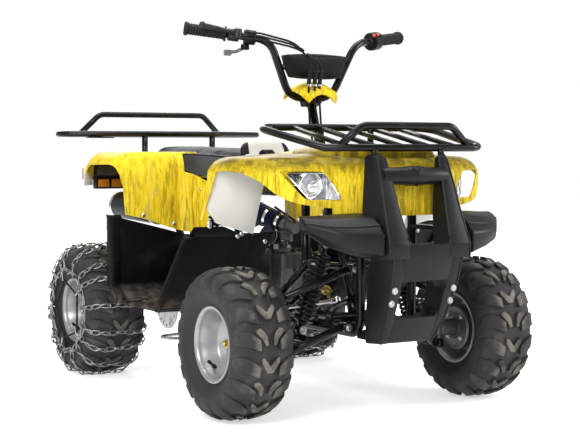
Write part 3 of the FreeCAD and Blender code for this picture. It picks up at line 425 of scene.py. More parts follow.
# %% [markdown]
# Paint, plastic and rubber. A flat colour never looks real, so each finish has its own fine
# grain, a slow drift in tone, and the dust or wear of a machine that has been ridden.
# %% Painted steel and metals
def painted_steel(name, colour, roughness):
    finish = Finish(name, colour, roughness, Coat_Weight=0.15, Coat_Roughness=0.1, Specular_IOR_Level=0.2)
    drift = finish.noise(9, 4)
    peel = finish.noise(420, 2)
    scuff = finish.noise(60, 5).step(0.62, 0.72)
    light = tuple(c + 0.025 for c in colour)
    finish.colour(finish.mix(scuff * 0.6, colour, light))
    finish.set("Roughness", drift * 0.16 + (roughness - 0.06) + scuff * 0.18)
    finish.bump(peel, 0.0002, 0.25)
    return finish.material


def bare_metal(name, colour, roughness, grain=600, metallic=1.0):
    finish = Finish(name, colour, roughness, metallic)
    dull = finish.noise(34, 5)
    pits = finish.noise(grain, 3)
    shade = tuple(c * 0.62 for c in colour)
    finish.colour(finish.mix(dull.step(0.42, 0.68) * 0.7, colour, shade))
    finish.set("Roughness", dull * 0.26 + (roughness - 0.1))
    finish.bump(pits, 0.0002, 0.3)
    return finish.material


frame_black = painted_steel("frame_black", (0.005, 0.005, 0.006), 0.22)
rack_black = painted_steel("rack_black", (0.003, 0.003, 0.004), 0.3)
spring_black = painted_steel("spring_black", (0.005, 0.005, 0.006), 0.28)
chrome = bare_metal("chrome", (0.78, 0.79, 0.8), 0.16, 900)
zinc = bare_metal("zinc", (0.62, 0.63, 0.64), 0.32)
chain_steel = bare_metal("chain_steel", (0.34, 0.34, 0.33), 0.38, 1200)
gold_zinc = bare_metal("gold_zinc", (0.62, 0.45, 0.16), 0.34)
cast_alloy = bare_metal("cast_alloy", (0.17, 0.17, 0.175), 0.48, 260, 0.8)
dark_alloy = bare_metal("dark_alloy", (0.04, 0.04, 0.043), 0.38, 300, 0.6)
hub_iron = bare_metal("hub_iron", (0.12, 0.12, 0.125), 0.5, 240, 0.6)
turned_steel = bare_metal("turned_steel", (0.42, 0.42, 0.41), 0.3, 700)
exhaust_black = painted_steel("exhaust_black", (0.02, 0.02, 0.021), 0.5)

# %% Silver rims
rim_finish = Finish("rim_silver", (0.4, 0.41, 0.43), 0.36, 0.55)
rim_stain = rim_finish.noise(26, 6).step(0.5, 0.75)
rim_finish.colour(rim_finish.mix(rim_stain * 0.6, (0.38, 0.39, 0.405), (0.23, 0.22, 0.2)))
rim_finish.set("Roughness", rim_stain * 0.2 + 0.33)
rim_finish.bump(rim_finish.noise(500, 2), 0.0002, 0.2)
rim_silver = rim_finish.material


# %% [markdown]
# Tyre rubber is nearly black in the grooves, while the tops of the lugs are worn pale by dry
# ground. The distance from the axle tells a lug's top from the groove beside it.
# %% Tyre rubber
TYRE_RADIUS = 203
FRONT_AXLE_Y = -512
REAR_AXLE_Y = 458


def tyre_rubber(name, axle_y, worn):
    finish = Finish(name, (0.02, 0.02, 0.021), 0.72)
    y, z = finish.axes()[1:]
    across = y - axle_y * MM
    up = z - TYRE_RADIUS * MM
    distance = (across * across + up * up).math("SQRT")
    dust = finish.noise(22, 6)
    fine = finish.noise(190, 4)
    crown = distance.step(0.1955, 0.2015) * dust.step(0.32, 0.62)
    wall = distance.step(0.125, 0.185) * dust.step(0.45, 0.75) * 0.6
    pale = finish.mix(fine, (0.16, 0.145, 0.12), (0.3, 0.27, 0.225))
    dark = finish.mix(wall + fine * 0.12, (0.013, 0.013, 0.014), (0.09, 0.083, 0.072))
    finish.colour(finish.mix(crown * worn, dark, pale))
    finish.set("Roughness", crown * 0.16 + fine * 0.14 + 0.62)
    finish.bump(fine + finish.noise(900, 2) * 0.5, 0.0006, 0.4)
    return finish.material


front_rubber = tyre_rubber("front_rubber", FRONT_AXLE_Y, 0.8)
rear_rubber = tyre_rubber("rear_rubber", REAR_AXLE_Y, 0.35)

soft_rubber = Finish("soft_rubber", (0.01, 0.01, 0.011), 0.6, Specular_IOR_Level=0.25)
soft_rubber.set("Roughness", soft_rubber.noise(80, 4) * 0.2 + 0.5)
soft_rubber.bump(soft_rubber.noise(700, 3), 0.0003, 0.3)
grip_rubber = soft_rubber.material


# %% [markdown]
# The bumper and the footwells are moulded in black with a leather-like grain, a little grey
# where boots and branches have rubbed them.
# %% Moulded black
def moulded_black(name, colour, roughness, specular, dusty=0.0):
    finish = Finish(name, colour, roughness, Specular_IOR_Level=specular)
    grain = finish.node("TexVoronoi", {"feature": "F1"}, {"Vector": finish.place, "Scale": 650.0})
    rub = finish.noise(14, 6).step(0.5, 0.8)
    worn = finish.mix(rub * 0.4, colour, (0.022, 0.022, 0.023))
    low = 1 - finish.axes()[2].step(0.258, 0.31)
    dust = low * finish.noise(30, 6).step(0.35, 0.7) * dusty
    finish.colour(finish.mix(dust, worn, (0.13, 0.105, 0.08)))
    finish.set("Roughness", rub * 0.14 + roughness)
    finish.bump(grain, 0.0003, 0.35)
    return finish.material


bumper_black = moulded_black("bumper_black", (0.006, 0.006, 0.007), 0.4, 0.28)
footwell_black = moulded_black("footwell_black", (0.003, 0.003, 0.0035), 0.46, 0.07, 0.7)
trim_black = moulded_black("trim_black", (0.004, 0.004, 0.005), 0.38, 0.2)

# %% [markdown]
# The panels are moulded in yellow and printed with dry stems: long dark and grey strokes in
# several directions, under a clear gloss. Each layer is noise drawn out along one direction
# by a Mapping node, cut to thin strokes by a step, and broken up by slower noise.
# The top of the front fender is darkened with height, a painted shade over the print, and loses its gloss
# with height.
# %% Printed yellow panels
SHADED_HEIGHT = (0.635, 0.685)
SHADED_FRONT = (0.3, 0.42)
GLOSS_END = (0.6, 0.66)


def strokes(finish, turn, scale, length, low, high, seed):
    shift = (seed, seed * 0.7, seed * 1.3)
    mapping = finish.node("Mapping", {"vector_type": "POINT"}, {
        "Vector": finish.place, "Rotation": turn, "Location": shift, "Scale": (1, 1, 1 / length)})
    noise = finish.node("TexNoise", inputs={
        "Vector": mapping, "Scale": scale, "Detail": 4.0, "Roughness": 0.6, "Distortion": 0.5})
    return noise.step(low, high)


def printed_yellow(name):
    finish = Finish(name, (0.8, 0.6, 0.02), 0.3, Coat_Roughness=0.12, Specular_IOR_Level=0.04)
    patch = finish.noise(9, 3)
    tone = finish.noise(30, 4)
    yellow = finish.mix(tone, (0.86, 0.6, 0.012), (0.96, 0.76, 0.05))
    amber = strokes(finish, (0.4, 0.3, 0.2), 60, 5, 0.46, 0.66, 3.0) * 0.55
    colour = finish.mix(amber, yellow, (0.46, 0.28, 0.01))
    layers = (((0.35, 0.2, 0.3), 90, 9, 0.53, 0.63, 0.0), ((-0.3, 0.5, 0.9), 120, 10, 0.54, 0.64, 7.0),
              ((1.2, 0.4, 0.3), 100, 10, 0.55, 0.63, 13.0), ((2.3, 0.2, 1.4), 130, 8, 0.56, 0.65, 11.0))
    for layer in layers:
        stroke = strokes(finish, *layer)
        colour = finish.mix(stroke * patch.step(0.28, 0.6) * 0.45, colour, (0.19, 0.12, 0.014))
    y, z = finish.axes()[1:]
    # Painted shade: high surfaces far forward, such as the top of the front fender, are darkened.
    shaded = z.step(*SHADED_HEIGHT) * (0 - y).step(*SHADED_FRONT)
    colour = finish.mix(shaded * (tone.step(0.35, 0.65) * 0.35 + 0.62), colour, (0.1, 0.072, 0.007))
    grey = strokes(finish, (1.8, 0.9, 0.1), 38, 8, 0.6, 0.7, 19.0) * (1 - patch).step(0.45, 0.62)
    finish.colour(finish.mix(grey * 0.45, colour, (0.4, 0.38, 0.3)))
    finish.set("Roughness", tone * 0.12 + 0.3)
    finish.set("Coat Weight", (1 - z.step(*GLOSS_END)) * 0.25)
    finish.bump(finish.noise(160, 2), 0.0002, 0.12)
    return finish.material


panel_yellow = printed_yellow("panel_yellow")


def plain_plastic(name, colour, roughness):
    finish = Finish(name, colour, roughness, Coat_Weight=0.2)
    cloud = finish.noise(12, 4)
    shade = tuple(c * 0.88 for c in colour)
    finish.colour(finish.mix(cloud, colour, shade))
    finish.set("Roughness", cloud * 0.15 + roughness)
    finish.bump(finish.noise(300, 2), 0.0002, 0.2)
    return finish.material


panel_white = plain_plastic("panel_white", (0.93, 0.9, 0.84), 0.42)
tank_white = plain_plastic("tank_white", (0.5, 0.49, 0.465), 0.5)
button_red = plain_plastic("button_red", (0.6, 0.03, 0.02), 0.35)
paddle_grey = plain_plastic("paddle_grey", (0.16, 0.16, 0.17), 0.45)
engine_black = plain_plastic("engine_black", (0.03, 0.03, 0.032), 0.5)
filter_blue = plain_plastic("filter_blue", (0.01, 0.016, 0.05), 0.4)
bottle_plastic = plain_plastic("bottle_plastic", (0.62, 0.66, 0.5), 0.35)


# %% [markdown]
# The seat has a grained black top and smooth grey sides.
# %% Seat covers
def seat_cloth(name, colour, roughness, scale):
    finish = Finish(name, colour, roughness, Sheen_Weight=0.03, Specular_IOR_Level=0.2)
    cells = finish.node("TexVoronoi", {"feature": "DISTANCE_TO_EDGE"},
                        {"Vector": finish.place, "Scale": scale})
    wear = finish.noise(16, 5)
    finish.colour(finish.mix(wear * 0.5, colour, tuple(c * 1.6 + 0.004 for c in colour)))
    finish.set("Roughness", wear * 0.2 + roughness)
    finish.bump(cells.step(0.0, 0.12), 0.0005, 0.5)
    return finish.material


seat_black = seat_cloth("seat_black", (0.006, 0.006, 0.007), 0.48, 420.0)
seat_grey = seat_cloth("seat_grey", (0.07, 0.07, 0.074), 0.44, 520.0)
pad_cover = seat_cloth("pad_cover", (0.004, 0.004, 0.0045), 0.5, 500.0)


# %% Lamp glass and reflectors
def lens(name, colour, transmission, roughness=0.05):
    finish = Finish(name, colour, roughness, Transmission_Weight=transmission, IOR=1.3)
    ripple = finish.noise(60, 2)
    finish.bump(ripple, 0.001, 0.15)
    return finish.material


clear_lens = lens("clear_lens", (0.96, 0.97, 0.98), 0.95)
amber_lens = lens("amber_lens", (0.85, 0.3, 0.02), 0.35, 0.12)
red_lens = lens("red_lens", (0.6, 0.02, 0.02), 0.35, 0.12)
reflector = bare_metal("reflector", (0.85, 0.86, 0.88), 0.14, 300)

# %% [markdown]
# Every node of the frame takes the finish of its own slot, so that nothing shows bare while
# the finer pieces are being made.
# %% Finishes of the frame
SLOT_FINISH = {
    "tyre_rubber": front_rubber, "rim_silver": rim_silver, "hub_iron": hub_iron,
    "chain_steel": chain_steel, "axle_steel": turned_steel, "frame_paint": frame_black,
    "spring_paint": spring_black, "chrome_rod": chrome, "black_plastic": bumper_black,
    "grip_rubber": grip_rubber, "lever_alloy": dark_alloy, "panel_yellow": panel_yellow,
    "seat_cover": seat_black, "engine_alloy": cast_alloy, "exhaust_steel": exhaust_black,
    "lamp_clear": clear_lens, "lamp_red": red_lens,
}
for part in frame["record"]["subparts"]:
    node = frame["nodes"][part["node"]]
    if not node.material_slots:
        node.data.materials.append(None)
    for holder in node.material_slots:
        holder.link = "OBJECT"
        holder.material = SLOT_FINISH[part["material_slot"]]

# %% [markdown]
# A studio with a white floor and backdrop: broad soft lamps in front, above and behind, and a
# world that gives metal and gloss something pale to mirror.
# %% Floor, backdrop and lamps
bpy.ops.object.select_all(action="DESELECT")
bpy.ops.mesh.primitive_plane_add(size=14, location=(0, 1, 0))
floor = bpy.context.object
floor.name = "floor"
settle(floor)


def studio_white(name, colour, lift):
    finish = Finish(name, (colour, colour, colour), 0.9)
    seen = finish.node("LightPath", output="Is Camera Ray")
    mirrored_rays = finish.node("LightPath", output="Is Glossy Ray")
    finish.set("Emission Color", (1, 1, 1, 1))
    x, y = finish.axes()[:2]
    far = (x * x + y * y).math("SQRT").step(1.1, 3.2)
    finish.set("Emission Strength", seen * (far * 0.55 + 0.2) + (seen + mirrored_rays) * lift)
    return finish.material


dress(floor, studio_white("floor_white", 0.85, 0.36))

SKY_MIRRORED = 0.48
SKY_SEEN = 1.0
world = bpy.data.worlds.new("studio")
bpy.context.scene.world = world
world.use_nodes = True
sky = world.node_tree.nodes
sky.clear()
background = sky.new("ShaderNodeBackground")
light_path = sky.new("ShaderNodeLightPath")
world_output = sky.new("ShaderNodeOutputWorld")
rays = sky.new("ShaderNodeMath")
rays.operation = "MAXIMUM"
strength = sky.new("ShaderNodeMapRange")
world.node_tree.links.new(light_path.outputs["Is Camera Ray"], rays.inputs[0])
world.node_tree.links.new(light_path.outputs["Is Transmission Ray"], rays.inputs[1])
world.node_tree.links.new(rays.outputs[0], strength.inputs["Value"])
strength.inputs["To Min"].default_value = SKY_MIRRORED
strength.inputs["To Max"].default_value = SKY_SEEN
world.node_tree.links.new(strength.outputs[0], background.inputs["Strength"])
world.node_tree.links.new(background.outputs[0], world_output.inputs["Surface"])
background.inputs["Color"].default_value = (1, 1, 1, 1)


def soft_lamp(name, place, target, size, power):
    data = bpy.data.lights.new(name, "AREA")
    data.shape = "RECTANGLE"
    data.size, data.size_y = size
    data.energy = power
    lamp = bpy.data.objects.new(name, data)
    bpy.context.collection.objects.link(lamp)
    lamp.location = place
    lamp.rotation_euler = (Vector(target) - Vector(place)).to_track_quat("-Z", "Y").to_euler()


soft_lamp("front_lamp", (-3.4, -3.2, 2.6), (0, 0, 0.5), (2.2, 1.6), 140)
soft_lamp("top_lamp", (0, 0, 3.6), (0, 0, 0), (3.4, 2.4), 120)
soft_lamp("right_lamp", (3.4, -2.2, 1.8), (0, 0, 0.5), (1.6, 1.6), 70)
soft_lamp("back_lamp", (1.0, 3.6, 2.4), (0, 0, 0.6), (2.4, 1.4), 60)
bpy.context.scene.view_settings.view_transform = "Standard"


# %% [markdown]
# A knobbly tyre is a round carcass with rubber blocks on it. Down the middle run worn
# chevrons, in turn one whole V and a split pair, and each row has a long black block that
# goes over the shoulder. One pitch of two rows is modelled and copied round the axle.
# %% Tyres
TREAD_RADIUS = 192
ROWS = 18
TYRES = {"front": {"width": 170, "rim_half": 68, "track": 776, "axle_y": FRONT_AXLE_Y},
         "rear": {"width": 188, "rim_half": 76, "track": 746, "axle_y": REAR_AXLE_Y}}


def on_tread(x, along, radius):
    # A point of the tread by its distance across, its distance along and its radius.
    angle = along / TYRE_RADIUS
    return (x, radius * math.sin(angle), -radius * math.cos(angle))


def tread_lug(outline, top, base=TREAD_RADIUS - 6):
    rings = [[on_tread(x, s, base) for x, s in outline],
             [on_tread(x * 0.94, s * 0.97, top - abs(x) * 0.05) for x, s in outline]]
    return skin("lug", rings)


def shoulder_lug(hand, half, shift):
    # Sections from the inner end, over the shoulder and down the side wall.
    stations = ((28, 2, 34, 201, 186), (46, -12, 28, 198.5, 186), (half - 24, -22, 22, 194, 184),
                (half - 9, -24, 20, 184, 172), (half - 1, -22, 18, 170, 160), (half + 1, -14, 10, 153, 148))
    rings = []
    for x, low, high, top, base in stations:
        inner = hand * (x - (3 if x > half - 12 else 0))
        rings.append([on_tread(inner, low + shift, base), on_tread(hand * x, low + shift + 2, top),
                      on_tread(hand * x, high + shift - 2, top), on_tread(inner, high + shift, base)])
    return skin("lug", rings)


def tyre(kind):
    half = TYRES[kind]["width"] / 2
    bead = TYRES[kind]["rim_half"] - 4.5
    side = [(bead, 93.5), (bead + 1, 106), (bead + 5, 112), (half - 8, 122), (half - 5, 126),
            (half - 4.2, 131), (half - 1.5, 134), (half - 0.5, 150), (half - 3, 166), (half - 11, 178),
            (half - 26, 187), (half - 48, 191)]
    profile = side + [(0, TREAD_RADIUS)] + [(-x, r) for x, r in reversed(side)]
    carcass = spun("carcass", profile, steps=108, angle=50)
    whole_v = [(-27, -20), (-26, -6), (-8, 21), (8, 21), (26, -6), (27, -20), (21, -21), (0, 3), (-21, -21)]
    half_v = [(11, -4), (8, 20), (15, 22), (24, 4), (40, -12), (42, -21), (30, -26), (20, -18)]
    row = TYRE_RADIUS * math.tau / ROWS
    lugs = [tread_lug(whole_v, TYRE_RADIUS)]
    for hand in (1, -1):
        lugs.append(tread_lug([(hand * x, s + row) for x, s in half_v], TYRE_RADIUS))
        lugs += [shoulder_lug(hand, half, shift) for shift in (0, row)]
    pitch = clean(join(lugs, "pitch"))
    modify(pitch, "BEVEL", width=1.6 * MM, segments=2, limit_method="ANGLE", angle_limit=math.radians(40))
    smooth(pitch, 40)
    copies = [moved(pitch, Matrix.Rotation(math.tau * i / (ROWS / 2), 4, "X")) for i in range(1, ROWS // 2)]
    return join([carcass, pitch] + copies, f"tyre_{kind}")


def place_wheel(pattern, kind, side, name):
    # A copy, mirrored for the right side, moved out to the end of its axle.
    piece = mirrored(pattern) if side == RIGHT else moved(pattern, Matrix.Identity(4))
    facts = TYRES[kind]
    place = Vector((side * facts["track"] / 2, facts["axle_y"], TYRE_RADIUS))
    piece.data.transform(Matrix.Translation(place * MM))
    piece.name = name
    return piece


def fit_to_wheels(pattern, kind, label, finish, node=None):
    # Sets a pattern on both wheels of a kind, then takes the pattern away.
    for name, side in SIDES.items():
        piece = place_wheel(pattern, kind, side, f"{label}_{name}")
        dress(piece, finish, WHEEL_BODY[kind].format(name), [f"{node}_{name}"] if node else ())
    discard(pattern)


WHEEL_BODY = {"front": "wheel_front_{}", "rear": "rear_axle"}
RUBBER = {"front": front_rubber, "rear": rear_rubber}
for kind in TYRES:
    pattern_tyre = tyre(kind)
    print(kind, "tyre faces:", len(pattern_tyre.data.polygons))
    fit_to_wheels(pattern_tyre, kind, f"knobbly_{kind}", RUBBER[kind], f"tyre_{kind}")


# %% [markdown]
# The rims are pressed from sheet: a curled lip, a bead seat, a stepped well and a disc far
# inside, which is why the wheel looks so deep. All of it is one profile, spun.
# %% Rims
DISH = 78
BEHIND_DISC = 3.8


def disc_x(kind):
    # How far the disc of a rim lies from the middle of the vehicle.
    return TYRES[kind]["track"] / 2 + TYRES[kind]["rim_half"] - DISH


def rim(kind):
    half = TYRES[kind]["rim_half"]
    disc = half - DISH
    profile = [
        (half - 4, 95.5), (half - 4, 100.5), (half - 2.5, 102), (half, 101), (half + 0.5, 97), (half - 2, 93),
        (half - 10, 90), (half - 16, 89.5), (half - 20, 86), (half - 32, 84.5), (half - 38, 80.5),
        (half - 56, 79), (half - 62, 74), (half - 70, 62), (half - 77, 57), (half - 78, 46), (disc + 3, 40),
        (disc + 3, 31), (disc, 30), (disc - 3.5, 32), (disc - 3.5, 60), (disc + 3, 66), (disc + 8, 77),
        (disc - 2, 84), (-half + 24, 86), (-half + 10, 91), (-half + 2, 93), (-half, 97), (-half, 101),
        (-half + 2.5, 102), (-half + 4, 100.5), (-half + 4, 95.5), (-half + 22, 91.5), (-half + 28, 88),
        (half - 26, 88), (half - 20, 92.5)]
    return spun("rim", profile, steps=96, angle=50)


def valve_stem(kind):
    half = TYRES[kind]["rim_half"]
    profile = [(0, 0), (0, 5), (9, 5.5), (11, 3.6), (26, 3.2), (27, 4.4), (36, 4.4), (37, 0)]
    stem = turned("stem", profile, steps=20)
    lay = Matrix.Rotation(math.radians(215), 4, "X") @ frame_to((half - 36, 0, 82), (0.75, 0, -0.66))
    stem.data.transform(lay)
    return smooth(stem)


for kind in TYRES:
    fit_to_wheels(rim(kind), kind, f"pressed_rim_{kind}", rim_silver, f"rim_{kind}")
    fit_to_wheels(valve_stem(kind), kind, f"valve_{kind}", grip_rubber)


# %% [markdown]
# In front, a finned brake drum turns behind the disc of the rim, and the yellow zinc of the
# hub and its castle nut shows in the middle. The rear hubs end in the same nut.
# %% Hubs, drums and nuts
DRUM_DEPTH = 36


def castle_nut(at_x):
    bpy.ops.object.select_all(action="DESELECT")
    bpy.ops.mesh.primitive_cylinder_add(vertices=6, radius=14 * MM, depth=14 * MM,
                                        rotation=(0, math.pi / 2, 0), location=(at_x * MM, 0, 0))
    nut = settle(bpy.context.object)
    soften(nut, 1.2)
    stud = turned("stud", [(at_x - 20, 0), (at_x - 20, 8), (at_x + 14, 8), (at_x + 16, 6), (at_x + 16, 0)],
                  steps=24)
    pin = bar("pin", [(at_x + 10, -17, 2), (at_x + 10, 17, 2)], 1.4, 0, 2)
    washer = turned("washer", [(at_x - 10, 8), (at_x - 10, 19), (at_x - 7, 19), (at_x - 7, 8)], steps=32)
    return smooth(join([nut, stud, pin, washer], "castle_nut"))


def hub_flange(disc):
    profile = [(disc - 6, 0), (disc - 6, 28), (disc + 4, 28), (disc + 8, 25), (disc + 18, 23),
               (disc + 20, 20), (disc + 20, 0)]
    return spun("flange", profile, steps=48)


def drum(disc):
    back = disc - BEHIND_DISC
    profile = [(back, 29), (back, 60), (back - 4, 64)]
    for i in range(4):
        start = back - 8 - i * 6.5
        profile += [(start, 64), (start - 1, 60.5), (start - 3, 60.5), (start - 4, 64)]
    profile += [(back - DRUM_DEPTH, 64), (back - DRUM_DEPTH, 56), (back - 8, 54), (back - 8, 9), (back, 9)]
    return spun("drum", profile, steps=72, angle=30)


for kind in TYRES:
    disc = TYRES[kind]["rim_half"] - DISH
    fit_to_wheels(hub_flange(disc), kind, f"hub_flange_{kind}", gold_zinc)
    fit_to_wheels(castle_nut(disc + 28), kind, f"castle_nut_{kind}", gold_zinc)
pattern_drum = drum(TYRES["front"]["rim_half"] - DISH)
fit_to_wheels(pattern_drum, "front", "brake_drum", cast_alloy, "hub_front")


# %% [markdown]
# Snow chains are hundreds of twisted links. One link is a bent ring of wire; it is laid along
# a path by matrices, turned a little to and fro, and all links are joined into one piece.
# The chain lies on the lugs, so the cross chains follow the tyre's own outline.
# %% Snow chains
LINK_PITCH = 27.0
LINK_TWIST = 28
LINK_SWAY = 9
WIRE = 2.1
SIDE_RING = 127
RING_STEPS = 51
CROSS_ANGLES = (15, 29, 52, 76, 90, 112, 136, 160, 176, 199, 222, 238, 262, 286, 301, 322, 345)


def link():
    points = []
    for i in range(14):
        t = math.tau * i / 14
        along = 18 * math.cos(t)
        wide = 6.8 * math.sin(t) * (1 - 0.25 * math.cos(t) ** 2)
        points.append((along, wide, 2.6 * math.sin(2 * t)))
    return rod("link", points, WIRE, 0, 1, closed=True, angle=60)


def path_frames(points, pitch, closed=False):
    # Places at equal steps along a route: (place, direction).
    points = [Vector(point) for point in points]
    if closed:
        points.append(points[0])
    lengths = [(b - a).length for a, b in zip(points, points[1:])]
    total = sum(lengths)
    count = round(total / pitch)
    frames = []
    for i in range(count):
        target = total * (i + 0.5) / count
        for a, b, length in zip(points, points[1:], lengths):
            if target <= length:
                frames.append((a.lerp(b, target / length), (b - a).normalized()))
                break
            target -= length
    return frames


def lay_links(pattern, frames, outward, rng):
    # Copies a link to each place; outward(place) gives the direction away from the tyre.
    laid = []
    for i, (place, direction) in enumerate(frames):
        normal = outward(place)
        normal = (normal - direction * normal.dot(direction)).normalized()
        across = normal.cross(direction)
        turn = Matrix((direction, across, normal)).transposed().to_4x4()
        lean = (LINK_TWIST if i % 2 else -LINK_TWIST) + rng.uniform(-LINK_SWAY, LINK_SWAY)
        twist = Matrix.Rotation(math.radians(lean), 4, "X")
        laid.append(moved(pattern, Matrix.Translation(place * MM) @ turn @ twist))
    return laid


def cross_route(angle, half, rng):
    # Over the tread from side ring to side ring, with a slight zigzag.
    side_x = half + 6
    shoulder = [(side_x, SIDE_RING + 4), (side_x, 160), (half - 3, 182), (half - 18, 197), (half * 0.55, 205)]
    heights = [(-x, radius) for x, radius in shoulder] + [(0, 206.5)] + shoulder[::-1]
    lean = math.radians(rng.uniform(-3, 3))
    route = []
    for x, radius in heights:
        turn = math.radians(angle) + lean * x / half + math.radians(rng.uniform(-0.7, 0.7))
        route.append((x, radius * math.sin(turn), -radius * math.cos(turn)))
    return route


def from_axle(place):
    # Away from the axle on the tread, and away from the wheel on its sides.
    radial = Vector((0, place.y, place.z))
    if radial.length > 192:
        return radial.normalized()
    return (radial.normalized() * 0.4 + X_AXIS * math.copysign(1, place.x)).normalized()


def snow_chain(seed):
    rng = random.Random(seed)
    pattern = link()
    half = TYRES["rear"]["width"] / 2
    links = []
    for angle in CROSS_ANGLES:
        route = cross_route(angle, half, rng)
        links += lay_links(pattern, path_frames(route, LINK_PITCH), from_axle, rng)
    for hand in (1, -1):
        ring = []
        for i in range(RING_STEPS):
            turn = math.tau * i / RING_STEPS
            radius = SIDE_RING + 3.5 * math.cos(turn * len(CROSS_ANGLES) * 0.5)
            ring.append((hand * (half + 5.5), radius * math.sin(turn), -radius * math.cos(turn)))
        links += lay_links(pattern, path_frames(ring, LINK_PITCH, closed=True),
                           lambda place: X_AXIS * math.copysign(1, place.x), rng)
    discard(pattern)
    return join(links, "snow_chain")


def strap_point(turn_degrees, radius, x):
    turn = math.radians(turn_degrees)
    return Vector((x, radius * math.sin(turn), -radius * math.cos(turn)))


def tensioner():
    # A rubber strap drawn out into a polygon by wire hooks, with its rubber triangle.
    x = TYRES["rear"]["width"] / 2 + 4
    corners = (20, 92, 164, 236, 308)
    strap = rod("strap", [strap_point(a, 98, x) for a in corners], 3.4, 0, 3, closed=True)
    hooks = []
    for a in corners:
        hook = [strap_point(a, 96, x + 4), strap_point(a, 103, x + 5), strap_point(a, 124, x + 3),
                strap_point(a + 2, 129, x - 1)]
        hooks.append(bar("hook", hook, 1.9, 5, 2))
    outline = [(-26, -14), (26, -14), (20, 6), (6, 26), (-6, 26), (-20, 6)]
    triangle = drawn("triangle", outline, 2, 0, 7)
    upright = Matrix.Rotation(math.pi / 2, 4, "Y") @ Matrix.Rotation(math.pi / 2, 4, "Z")
    out = Matrix.Translation(Vector((x - 2, 0, -106)) * MM)
    triangle.data.transform(Matrix.Rotation(math.radians(corners[0]), 4, "X") @ out @ upright)
    soften(triangle, 1.5)
    return join([strap, triangle], "strap"), smooth(join(hooks, "hooks"))


for seed, (name, side) in enumerate(SIDES.items(), start=3):
    chain = snow_chain(seed)
    strap, hooks = tensioner()
    print("chain faces:", len(chain.data.polygons))
    for pattern, label, finish, nodes, slot in (
            (chain, "chain_links", chain_steel, [f"snow_chain_{name}"], "chain_steel"),
            (strap, "chain_strap", grip_rubber, (), "grip_rubber"),
            (hooks, "chain_hooks", zinc, (), "chain_steel")):
        dress(place_wheel(pattern, "rear", side, f"{label}_{name}"), finish, "rear_axle", nodes)
        discard(pattern)


# %% [markdown]
# The skeleton is welded from round tube. Each tube is a bar along the same route as in the
# frame, with a small bead where it is welded, and the bolts that hold things to it.
# %% Fasteners and welds
HEXAGON = 0.577
HARDWARE = {}


def bolt(body, place, axis, width=12, height=7):
    # A hexagon head on a washer; all bolts of one body are joined later.
    bpy.ops.object.select_all(action="DESELECT")
    bpy.ops.mesh.primitive_cylinder_add(vertices=6, radius=width * HEXAGON * MM, depth=height * MM,
                                        rotation=(0, math.pi / 2, 0))
    head = settle(bpy.context.object)
    modify(head, "BEVEL", width=0.6 * MM, segments=1, limit_method="ANGLE")
    head.data.transform(Matrix.Translation((height * 0.5 * MM, 0, 0)))
    washer = turned("washer", [(-1, 0), (-1, width * 0.8), (1, width * 0.8), (1, 0)], steps=20)
    both = join([head, washer], "bolt")
    both.data.transform(frame_to(place, axis))
    HARDWARE.setdefault(body, []).append(both)


def weld(place, axis, radius):
    bpy.ops.object.select_all(action="DESELECT")
    bpy.ops.mesh.primitive_torus_add(major_segments=28, minor_segments=6, major_radius=(radius + 0.4) * MM,
                                     minor_radius=2.2 * MM, rotation=(0, math.pi / 2, 0))
    ring = settle(bpy.context.object)
    ring.data.transform(frame_to(place, axis))
    return ring


def cross_bar(half, y, z, radius):
    return bar("cross", [(-half, y, z), (half, y, z)], radius, 0)


# %% Main frame
FRAME_TUBE = 12.5
CROSS_TUBE = 10.0
THIN_TUBE = 9.5
RAIL_X = 82
RAIL_Z = 222
TOP_Z = 600
FRONT_POST_Y = -650
DOWN_TUBE_Y = -365
FOOTWELL_Z = 256
COLUMN_FOOT = Vector((0, -482, 290))
COLUMN_HEAD = Vector((0, -252, 847))
COLUMN_AXIS = (COLUMN_HEAD - COLUMN_FOOT).normalized()
LOWER_PIVOT = (112, 240)
UPPER_PIVOT = (92, 394)
ARM_SPREAD = 105

